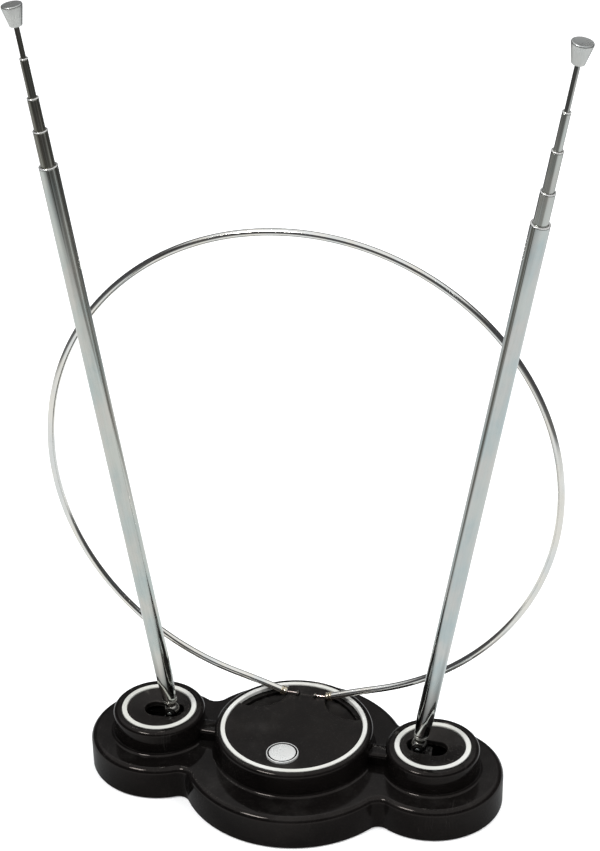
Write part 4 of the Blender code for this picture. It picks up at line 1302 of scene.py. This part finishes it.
@dataclass
class Inside:
    """The frame's own inner parts, which keep their shape and take full finishes."""

    nodes: dict[str, bpy.types.Object]

    def build(self) -> None:
        """Dress every inner part that stays as the frame has it."""
        plain = {"ballast": IRON_METAL, "terminal_board": FIBRE, "matching_core": FERRITE_GREY}
        for side in Side:
            name = side.value
            plain[f"{name}_lead"] = WIRE_RED
            plain[f"{name}_cradle"] = HINGE_METAL
            plain[f"{name}_tension_screw"] = STEEL_METAL
            plain[f"{name}_tension_spring"] = STEEL_METAL
            plain[f"{name}_rod_stop"] = BRASS_METAL
            for number in (2, 3, 4):
                plain[f"{name}_sleeve_{number}"] = BRASS_METAL
        for node, finish in plain.items():
            for slot in self.nodes[node].material_slots:
                slot.material = finish.material()
            LOG.info("%s keeps its shape, dressed in %s", node, finish.name)


# ---------------------------------------------------------------- loop

@dataclass
class WireLoop:
    """The round wire loop with turned-down ends, its pins, collars and spring clips."""

    axis_y: float = 21.5 * MM
    axis_z: float = 26.6 * MM
    radius: float = 104.2 * MM
    centre_x: float = -1.5 * MM
    centre_z: float = 133.5 * MM
    rod: float = 1.46 * MM
    end_x: float = 8.8 * MM
    bend_x: float = 30.0 * MM
    pin: float = 0.42 * MM
    pin_inner: float = 3.4 * MM
    pin_hole: float = 0.67 * MM
    end_rounding: float = 0.5 * MM
    collar_gap: float = 0.1 * MM
    collar_wall: float = 0.35 * MM
    collar_length: float = 2.4 * MM
    collar_waist: float = 0.1 * MM
    steps: int = 240
    sides: int = 28

    def dip(self, x: float) -> float:
        """How far the loop's foot is bent down over a point on the X axis."""
        end_x = self.end_x if x > 0 else -self.end_x
        height = self.centre_z - sqrt(self.radius ** 2 - (end_x - self.centre_x) ** 2)
        share = min((self.bend_x - abs(x)) / (self.bend_x - self.end_x), 1.0)
        return (self.axis_z - height) * share ** 2

    def line(self) -> list[Vector]:
        """Centre line of the rod from its left end over the top to its right end."""
        start = atan2(-self.end_x - self.centre_x, self.radius)
        end = atan2(self.end_x - self.centre_x, self.radius) - 2 * pi
        points = []
        for i in range(self.steps + 1):
            angle = start + (end - start) * i / self.steps
            x = self.centre_x + self.radius * sin(angle)
            z = self.centre_z - self.radius * cos(angle)
            if abs(x) < self.bend_x and z < self.centre_z:
                z += self.dip(x)
            points.append(Vector((x, self.axis_y, z)))
        return points

    def rod_form(self) -> Form:
        """The rod, rounded over at its two ends."""
        line = self.line()
        shares = ((0.0, 0.48), (0.12, 0.72), (0.35, 0.88), (0.7, 0.97))
        path, radii = line[1:-1], [self.rod] * (len(line) - 2)
        for share, size in reversed(shares):
            past = Vector((self.end_rounding * (1 - share), 0, 0))
            path = [line[0] + past, *path, line[-1] - past]
            radii = [self.rod * size, *radii, self.rod * size]
        return swept(path, radii, self.sides, Vector((0, 1, 0)))

    def pin_form(self, side: Side) -> Form:
        """The thin pin that one end of the rod turns on."""
        end, radius = self.end_x + 0.3 * MM, self.pin
        corners = [(0, self.pin_inner, 0), (radius, self.pin_inner, 0.12 * MM), (radius, end, 0),
                   (0, end, 0)]
        turn = Matrix.Rotation(side.sign * pi / 2, 4, "Y")
        return moved(spun(corners, 32), at(0, self.axis_y, self.axis_z) @ turn)

    def collar(self, side: Side) -> Form:
        """The small brass collar crimped on one end of the rod."""
        line = self.line()
        run = (line[2] - line[0]) if side is Side.LEFT else (line[-3] - line[-1])
        inner, length = self.rod + self.collar_gap, self.collar_length
        outer = inner + self.collar_wall
        waist = outer - self.collar_waist
        corners = [(inner, 0, 0), (outer, 0, 0.15 * MM), (outer, length * 0.32, 0.08 * MM),
                   (waist, length * 0.42, 0.06 * MM), (waist, length * 0.58, 0.06 * MM),
                   (outer, length * 0.68, 0.08 * MM), (outer, length, 0.15 * MM),
                   (inner, length, 0)]
        turn = Vector((0, 0, 1)).rotation_difference(run.normalized()).to_matrix().to_4x4()
        place = at(side.sign * self.end_x, self.axis_y, self.axis_z)
        return moved(spun(corners, 48, closed=True, segments=3), place @ turn)

    def clip(self, side: Side) -> Form:
        """The brass strip that stands in the base and carries one pin."""
        low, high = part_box(f"{side.value}_loop_contact")
        half = (high.y - low.y) / 2
        outline = [(-half, low.z), (half, low.z)]
        outline += arc((0, self.axis_z), half, 0, 180, 20)
        strip = extruded([(low.x, self.axis_y + y, z) for y, z in outline],
                         (high.x - low.x, 0, 0))
        drill = moved(bar(self.pin_hole, -2 * MM, 2 * MM, 28),
                      at((low.x + high.x) / 2, self.axis_y, self.axis_z) @ ALONG_X)
        return combined(strip, [drill], "DIFFERENCE")

    def build(self) -> None:
        """Make the loop, its collars and its clips."""
        piece("wire_loop", self.rod_form(), "loop", LOOP_CHROME.material(), ["loop"],
              sharp=50.0)
        for side in Side:
            name = side.value
            piece(f"{name}_loop_pin", self.pin_form(side), "loop",
                  PIN_METAL.material(), ["loop"])
            piece(f"{name}_loop_collar", self.collar(side), "loop",
                  COLLAR_METAL.material(), [f"{name}_loop_ferrule"])
            piece(f"{name}_pin_clip", self.clip(side), "base", CLIP_METAL.material(),
                  [f"{name}_loop_contact"])


# ---------------------------------------------------------------- masts

@dataclass
class Mast:
    """One telescoping mast on its hinged foot."""

    side: Side
    joints: list[dict]
    plating: Colour
    tarnish: tuple[float, float]
    # Painted shade for the lower tube and the upper sections: dark reflections painted down one
    # side.
    bands: tuple[PaintedShadeBand, PaintedShadeBand]
    crimp_turn: float
    radii: Sequence[float] = (3.5 * MM, 2.7 * MM, 2.1 * MM, 1.5 * MM, 0.95 * MM)
    taper_top: float = 15.5 * MM
    taper_radius: float = 3.05 * MM
    taper_levels: int = 14
    taper_start: float = 1.5 * MM
    crimp_past: float = 6 * MM
    crimp_depth: float = 1.05 * MM
    wall: float = 0.28 * MM
    neck: float = 0.1 * MM
    lip_height: float = 1.2 * MM
    ball: float = 3.4 * MM
    ball_flat: float = 2.35 * MM
    pin_hole: float = 1.0 * MM
    ear: tuple[float, float] = (2.5 * MM, 3.5 * MM)
    cap_radii: tuple[float, float] = (2.22 * MM, 3.82 * MM)
    flutes: int = 24
    flute_depth: float = 0.016
    steps: int = 72
    place: Matrix = field(init=False)
    rock: Matrix = field(init=False)

    def __post_init__(self) -> None:
        """Work out the mast's own directions from its joints."""
        by_name = {joint["name"]: joint for joint in self.joints}
        fold = by_name[f"{self.side.value}_fold"]
        slide = by_name[f"{self.side.value}_slide_2"]
        pivot = Vector(fold["pos_m"])
        along = Vector(slide["axis"]).normalized()
        across = Vector(fold["axis"]).normalized() * self.side.sign
        sideways = across.cross(along).normalized()
        turn = Matrix((sideways, across, along)).transposed()
        self.place = Matrix.Translation(pivot) @ turn.to_4x4()
        upright = Vector((1, 0, 0)).cross(across)
        level = Matrix((Vector((1, 0, 0)), across, upright)).transposed()
        self.rock = Matrix.Translation(pivot) @ level.to_4x4()

    def axis(self) -> tuple[tuple[float, float, float], tuple[float, float, float]]:
        """The mast's place and turn, for a finish whose streaks run along it."""
        place, turn, _ = self.place.decompose()
        return tuple(place), tuple(turn.to_euler("XYZ"))

    def chrome(self, name: str, tarnish: float, band: PaintedShadeBand | None = None
               ) -> bpy.types.Material:
        """Chrome whose streaks run along this mast.

        Args:
            name: The finish's name.
            tarnish: How tarnished it is, from 0 to 1.
            band: Painted shade down one side, a dark reflection painted into the colour.

        Returns:
            The material.
        """
        cool = tuple(value * share for value, share in zip(self.plating, (0.80, 0.93, 1.0)))
        warm = tuple(value * share for value, share in zip(self.plating, (1.12, 1.0, 0.99)))
        return Plating(f"{self.side.value}_{name}", colour=self.plating, bloom_cool=cool,
                       bloom_warm=warm, tarnish_amount=tarnish, axis=self.axis(),
                       wear_amount=0.0, band=band).material()

    def tube(self, index: int, start: float, top: float) -> Form:
        """A drawn tube with a rolled lip round the next section.

        Args:
            index: Which section it is, from the outermost.
            start: Where it starts along the mast.
            top: Where its mouth is.

        Returns:
            The tube, upright.
        """
        outer, lip = self.radii[index], top - self.lip_height
        mouth, bore = self.radii[index + 1] + 0.08 * MM, outer - self.wall
        shoulder, neck = top - 0.3 * MM, outer - self.neck
        upper = [(outer, shoulder - 0.4 * MM, 0), (neck, shoulder - 0.25 * MM, 0),
                 (neck, shoulder, 0.03 * MM), (mouth, shoulder, 0.03 * MM), (mouth, lip, 0),
                 (bore, lip - 0.6 * MM, 0)]
        if index:
            lower = [(bore, start, 0), (outer, start, 0)]
            return spun(lower + upper, self.steps, closed=True, segments=3)
        reach, foot = self.taper_top + self.crimp_past, start + self.taper_start
        taper = []
        for level in range(self.taper_levels + 1):
            height = start + (reach - start) * level / self.taper_levels
            share = min(max((height - foot) / (self.taper_top - foot), 0), 1)
            taper.append((height, self.taper_radius + (outer - self.taper_radius) * share))
        outside = [(radius, height, 0.12 * MM if height == start else 0)
                   for height, radius in taper]
        inside = [(radius - self.wall, height, 0) for height, radius in reversed(taper)]
        form = spun(outside + upper + inside, self.steps, closed=True, segments=3)
        self.crimp(form, start, reach)
        return form

    def lip(self, index: int, top: float) -> Form:
        """The bright bead rolled round a section's mouth.

        Args:
            index: Which section it is, from the outermost.
            top: Where the mouth is along the mast.

        Returns:
            The bead, upright.
        """
        mouth, roll = self.radii[index + 1] + 0.1 * MM, self.radii[index] + 0.08 * MM
        corners = [(mouth, top - 0.4 * MM, 0), (roll - 0.06 * MM, top - 0.4 * MM, 0.04 * MM),
                   (roll, top - 0.32 * MM, 0.06 * MM), (roll, top, 0.22 * MM),
                   (mouth, top, 0.1 * MM)]
        return spun(corners, self.steps, closed=True, segments=5)

    def crimp(self, form: Form, start: float, reach: float) -> None:
        """Press two flats into the outer tube's lower end.

        Args:
            form: The tube, upright.
            start: Where the tube starts.
            reach: Where the flats run out.
        """
        turn = Matrix.Rotation(self.crimp_turn, 3, "Z")
        back = turn.inverted()
        for point in form.verts:
            if point.co.z > reach:
                continue
            share = (reach - point.co.z) / (reach - start)
            limit = self.radii[0] - self.crimp_depth * share
            local = back @ point.co
            if local.xy.length < self.taper_radius - 0.1 * MM:
                limit -= self.wall
            local.x = max(-limit, min(limit, local.x))
            point.co = turn @ local

    def knuckle(self) -> Form:
        """The flattened ball, waisted neck, collar and spigot under the tube."""
        neck, collar, spigot, ball = 2.2 * MM, 3.0 * MM, 2.4 * MM, self.ball
        rise = sqrt(ball ** 2 - neck ** 2)
        corners = [(0, -ball, 0)]
        corners += [(r, z, 0) for r, z in arc((0, 0), ball, -84, degrees(atan2(rise, neck)), 18)]
        corners += [(neck, 4.4 * MM, 0.3 * MM), (collar, 4.6 * MM, 0.35 * MM),
                    (collar, 5.3 * MM, 0.05 * MM), (collar - 0.25 * MM, 5.42 * MM, 0.05 * MM),
                    (collar, 5.54 * MM, 0.05 * MM), (collar, 6.2 * MM, 0.3 * MM),
                    (spigot, 6.2 * MM, 0), (spigot, 14 * MM, 0.5 * MM), (0, 14 * MM, 0)]
        form = spun(corners, 64, segments=4)
        flat, past = self.ball_flat, 6 * MM
        sides = [block((-past, near, -past), (past, far, 4 * MM))
                 for near, far in ((-past, -flat), (flat, past))]
        hole = moved(bar(self.pin_hole, -past, past, 32), ALONG_Y)
        form = combined(form, sides + [hole], "DIFFERENCE")
        edge = flat - 0.001 * MM

        def on_flat(item: bmesh.types.BMEdge) -> bool:
            """Whether an edge rims one of the ball's flats."""
            same = all(abs(point.co.y) > edge for point in item.verts)
            return same and len(item.link_faces) == 2 and item.calc_face_angle(0.0) > 0.3

        return eased(form, on_flat, 0.18 * MM, segments=3)

    def bracket(self) -> Form:
        """The rocking bracket whose two ears hold the hinge rivet."""
        radius, low, past = 2.0 * MM, -9 * MM, 5 * MM
        inner, outer = self.ear
        outline = [(-radius, low), (radius, low)] + arc((0, 0), radius, 0, 180, 24)
        form = extruded([(x, -outer, z) for x, z in outline], (0, 2 * outer, 0))
        bowl = moved(bar(7 * MM, -past, past, 96), ALONG_X)
        form = combined(form, [bowl], "INTERSECT")
        channel = block((-past, -inner, -3.8 * MM), (past, inner, past))
        hole = moved(bar(self.pin_hole, -6 * MM, 6 * MM, 32), ALONG_Y)
        tapped = bar(MM, -8 * MM, -5.1 * MM, 24)
        form = combined(form, [channel, hole, tapped], "DIFFERENCE")

        def ear_edge(item: bmesh.types.BMEdge) -> bool:
            """Whether an edge runs round the face of an ear."""
            for level in self.ear:
                if all(abs(abs(point.co.y) - level) < MERGE * 10 for point in item.verts):
                    return item.calc_face_angle(0.0) > 0.6 and all(
                        point.co.xz.length > 1.2 * MM and point.co.z > -3 * MM
                        for point in item.verts)
            return False

        return eased(form, ear_edge, 0.12 * MM, segments=2)

    def rivet(self) -> Form:
        """The hinge pin with its two domed heads."""
        shank, head, near, far = 0.9 * MM, 1.15 * MM, 3.6 * MM, 3.95 * MM
        corners = [(0, -far, 0), (head * 0.8, -far + 0.06 * MM, 0.3 * MM), (head, -near, 0.04 * MM),
                   (shank, -near, 0), (shank, near, 0), (head, near, 0.04 * MM),
                   (head * 0.8, far - 0.06 * MM, 0.3 * MM), (0, far, 0)]
        return moved(spun(corners, 40, segments=4), ALONG_Y)

    def cap(self, foot: float, top: float) -> Form:
        """The flared cap on the mast's tip, open underneath round the rod."""
        (small, large), bore, levels = self.cap_radii, 1.2 * MM, 6
        edge, ceiling = foot + 0.05 * MM, top - 1.6 * MM
        corners = [(bore, foot + 0.1 * MM, 0.1 * MM), (small, edge, 0.35 * MM)]
        corners += [(small + (large - small) * level / levels,
                     edge + (top - foot - 0.8 * MM) * level / levels, 0)
                    for level in range(1, levels)]
        corners += [(large - 0.04 * MM, top - 0.75 * MM, 0.15 * MM),
                    (large, top - 0.5 * MM, 0.1 * MM), (large - 0.12 * MM, top, 0.28 * MM),
                    (large - 0.7 * MM, top - 0.02 * MM, 0.1 * MM), (0, top - 0.1 * MM, 0),
                    (0, ceiling, 0), (bore, ceiling, 0)]
        form = spun(corners, self.flutes * 6, closed=True, segments=4)
        low, high = foot + 0.9 * MM, top - 1.1 * MM
        for point in form.verts:
            if low < point.co.z < high and point.co.xy.length > small:
                wave = cos(self.flutes * atan2(point.co.y, point.co.x))
                shrink = 1 - self.flute_depth * (0.5 - 0.5 * wave)
                point.co.x, point.co.y = point.co.x * shrink, point.co.y * shrink
        return form

    def build(self) -> None:
        """Make the mast's foot, its sections and its cap."""
        name = self.side.value
        piece(f"{name}_hinge_bracket", moved(self.bracket(), self.rock), f"{name}_saddle",
              HINGE_METAL.material(), [f"{name}_saddle"], sharp=40.0)
        piece(f"{name}_hinge_rivet", moved(self.rivet(), self.rock), f"{name}_saddle",
              self.chrome("rivet_chrome", 0.1), [f"{name}_hinge_pin"])
        piece(f"{name}_knuckle", moved(self.knuckle(), self.place), f"{name}_mast",
              KNUCKLE_METAL.material(), [f"{name}_mast_foot"], sharp=40.0)
        lower = self.chrome("tube_chrome", self.tarnish[0], self.bands[0])
        upper = self.chrome("upper_chrome", self.tarnish[1], self.bands[1])
        bodies = [f"{name}_mast"] + [f"{name}_section_{number}" for number in (2, 3, 4)]
        for index, body in enumerate(bodies):
            node = f"{name}_tube_{index + 1}"
            start, top = self.span(node)
            piece(f"{name}_drawn_tube_{index + 1}", moved(self.tube(index, start, top), self.place),
                  body, upper if index else lower, [node])
            piece(f"{name}_rolled_lip_{index + 1}", moved(self.lip(index, top), self.place), body,
                  LIP_CHROME.material(), [node])
        start, end = self.span(f"{name}_tip_rod")
        radius = self.radii[4]
        corners = [(0, start, 0), (radius, start, 0.2 * MM), (radius, end, 0.1 * MM), (0, end, 0)]
        piece(f"{name}_top_rod", moved(spun(corners, 48), self.place), f"{name}_section_5",
              upper, [f"{name}_tip_rod"])
        foot, top = self.span(f"{name}_tip_cap")
        cap = self.cap(foot, top - 0.08 * MM)
        piece(f"{name}_end_cap", moved(cap, self.place), f"{name}_section_5",
              CAP_METAL.material(), [f"{name}_tip_cap"])

    def span(self, node: str) -> tuple[float, float]:
        """Where a node starts and ends along the mast."""
        back = self.place.inverted()
        heights = [(back @ point.co).z for point in bpy.data.objects[node].data.vertices]
        return min(heights), max(heights)


# ---------------------------------------------------------------- studio

@dataclass
class Studio:
    """A pale floor, soft lights and the camera."""

    target: Vector = field(default_factory=lambda: Vector((4.986, 0.0, 168.25)) * MM)
    distance: float = 777.2 * MM
    azimuth: float = 14.87
    elevation: float = 28.93
    roll: float = -1.06
    lens: float = 86.78
    sensor: float = 36.0
    aim: Corner = (0.0, 0.0, 0.12)
    floor_radius: float = 9.0

    def camera(self) -> None:
        """Stand the camera in front, above and a little to the right."""
        turn, rise, roll = map(radians, (self.azimuth, self.elevation, self.roll))
        back = Vector((sin(turn) * cos(rise), -cos(turn) * cos(rise), sin(rise)))
        right = Vector((cos(turn), sin(turn), 0))
        up = back.cross(right)
        tilted_right = right * cos(roll) + up * sin(roll)
        tilted_up = up * cos(roll) - right * sin(roll)
        matrix = Matrix((tilted_right, tilted_up, back)).transposed().to_4x4()
        matrix.translation = self.target + back * self.distance
        data = bpy.data.cameras.new("camera")
        data.lens = self.lens
        data.sensor_width = self.sensor
        data.clip_start, data.clip_end = 0.01, 50.0
        item = bpy.data.objects.new("camera", data)
        item.matrix_world = matrix
        bpy.context.scene.collection.objects.link(item)
        bpy.context.scene.camera = item

    def lamp(self, name: str, place: Sequence[float], size: Point, power: float,
             reflected: bool = False) -> None:
        """Hang a soft rectangular light that faces the antenna.

        Args:
            name: The light's name.
            place: Where it hangs.
            size: Its width and height.
            power: Its strength, in watts.
            reflected: Whether it shows in shiny surfaces.
        """
        data = bpy.data.lights.new(name, "AREA")
        data.shape, data.energy = "RECTANGLE", power
        data.size, data.size_y = size
        item = bpy.data.objects.new(name, data)
        item.location = place
        item.visible_glossy = reflected
        aim = Vector(self.aim) - Vector(place)
        item.rotation_euler = aim.to_track_quat("-Z", "Y").to_euler()
        bpy.context.scene.collection.objects.link(item)

    def floor(self) -> None:
        """A wide pale floor, seen in shiny surfaces as a painted reflection: dark by the antenna as
        a painted shadow, bright further out and dim far away.
        """
        form = bmesh.new()
        bmesh.ops.create_circle(form, cap_ends=True, segments=96, radius=self.floor_radius)
        mesh = mesh_from(form, "pale_floor")
        item = bpy.data.objects.new("pale_floor", mesh)
        bpy.context.scene.collection.objects.link(item)
        made = bpy.data.materials.new("pale_floor")
        made.use_nodes = True
        mesh.materials.append(made)
        tree = Tree(made.node_tree)
        shader = made.node_tree.nodes["Principled BSDF"]
        where = tree.add("ShaderNodeTexCoord").outputs["Object"]
        shader.inputs["Roughness"].default_value = 0.9
        shader.inputs["Specular IOR Level"].default_value = 0.1
        mottle = tree.mix(tree.noise(where, 6.0, 4.0), (0.80, 0.80, 0.80), (0.83, 0.83, 0.825))
        tree.feed(shader.inputs["Base Color"], mottle)
        # Painted reflection: for glossy rays only, the floor glows dim within a few centimetres of
        # the antenna as a painted shadow, bright further out and dimmer far away.
        distance = tree.add("ShaderNodeVectorMath", operation="LENGTH")
        tree.feed(distance.inputs[0], tree.scaled(where, (0.55, 1.0, 1.0)))
        rays = tree.add("ShaderNodeLightPath")
        near = tree.spread(distance.outputs["Value"], 0.045, 0.075, 0.25, 1.0)
        far = tree.spread(distance.outputs["Value"], 0.30, 0.62, 1.0, 0.16)
        painted_reflection = tree.sum("MULTIPLY", tree.sum("MULTIPLY", near, far), rays.outputs["Is Glossy Ray"])
        dark = tree.add("ShaderNodeEmission")
        dark.inputs["Strength"].default_value = 1.0
        tree.feed(dark.inputs["Color"], tree.mix(painted_reflection, (0, 0, 0), (0.92, 0.94, 0.95)))
        bright = tree.add("ShaderNodeEmission")
        bright.inputs["Strength"].default_value = 0.35
        camera_view = tree.add("ShaderNodeAddShader")
        tree.tree.links.new(shader.outputs[0], camera_view.inputs[0])
        tree.tree.links.new(bright.outputs[0], camera_view.inputs[1])
        glossy = tree.add("ShaderNodeMixShader")
        tree.feed(glossy.inputs[0], rays.outputs["Is Glossy Ray"])
        tree.tree.links.new(camera_view.outputs[0], glossy.inputs[1])
        tree.tree.links.new(dark.outputs[0], glossy.inputs[2])
        output = made.node_tree.nodes["Material Output"]
        tree.tree.links.new(glossy.outputs[0], output.inputs["Surface"])

    def surroundings(self) -> None:
        """White to look at, and a dim room to reflect."""
        world = bpy.data.worlds.new("studio")
        world.use_nodes = True
        bpy.context.scene.world = world
        tree = Tree(world.node_tree)
        background = world.node_tree.nodes["Background"]
        split = tree.add("ShaderNodeSeparateXYZ")
        tree.feed(split.inputs[0], tree.add("ShaderNodeTexCoord").outputs["Generated"])
        height = tree.spread(split.outputs["Z"], 0.52, 0.74)
        room = tree.mix(height, (0.07, 0.07, 0.075), (1.0, 1.02, 1.04))
        view = tree.add("ShaderNodeLightPath").outputs["Is Camera Ray"]
        tree.feed(background.inputs["Color"], tree.mix(view, room, (1.0, 1.0, 1.0)))
        background.inputs["Strength"].default_value = 1.0

    def build(self) -> None:
        """Set up the camera, the lights and the floor."""
        self.camera()
        self.floor()
        self.surroundings()
        self.lamp("key", (-0.55, -0.75, 1.25), (0.45, 0.3), 12.0, reflected=True)
        self.lamp("fill", (0.95, -0.25, 0.95), (0.6, 0.6), 8.0)
        self.lamp("back", (0.15, 1.1, 1.05), (1.2, 0.35), 8.0)
        bpy.context.scene.view_settings.view_transform = "Standard"


def main() -> None:
    """Build the whole antenna round its frame."""
    logging.basicConfig(level=logging.INFO, format="%(name)s: %(message)s")
    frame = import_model()
    lobes = Lobes()
    shell = BaseShell(lobes)
    shell.build()
    Trim().build()
    CentreDisc(lobes).build()
    for side in Side:
        SlottedDish(lobes, side).build()
    Underside(shell).build()
    Inside(frame["nodes"]).build()
    WireLoop().build()
    joints = frame["joints"]
    rightwards, leftwards = (0.966, 0.257, 0.0), (-0.966, -0.257, 0.0)
    # Painted shade on the masts: dark reflections painted down one side, wider towards the top, and
    # nearly all round the left mast's upper sections.
    left_painted_shade = (PaintedShadeBand(rightwards, (70 * MM, 290 * MM), (0.93, -0.35),
                       colour=(0.055, 0.049, 0.035)),
                  PaintedShadeBand(rightwards, (0.0, 1.0), (-0.95, -0.95), strength=0.85))
    right_painted_shade = (PaintedShadeBand(leftwards, (30 * MM, 300 * MM), (0.70, 0.38), colour=(0.06, 0.055, 0.042)),
                   PaintedShadeBand(leftwards, (0.0, 1.0), (-0.1, -0.1), strength=0.6))
    Mast(Side.LEFT, joints, (0.60, 0.62, 0.58), (0.16, 0.50), left_painted_shade, radians(10)).build()
    Mast(Side.RIGHT, joints, (0.57, 0.60, 0.58), (0.10, 0.25), right_painted_shade,
         radians(-38)).build()
    Studio().build()


if __name__ == "__main__":
    main()
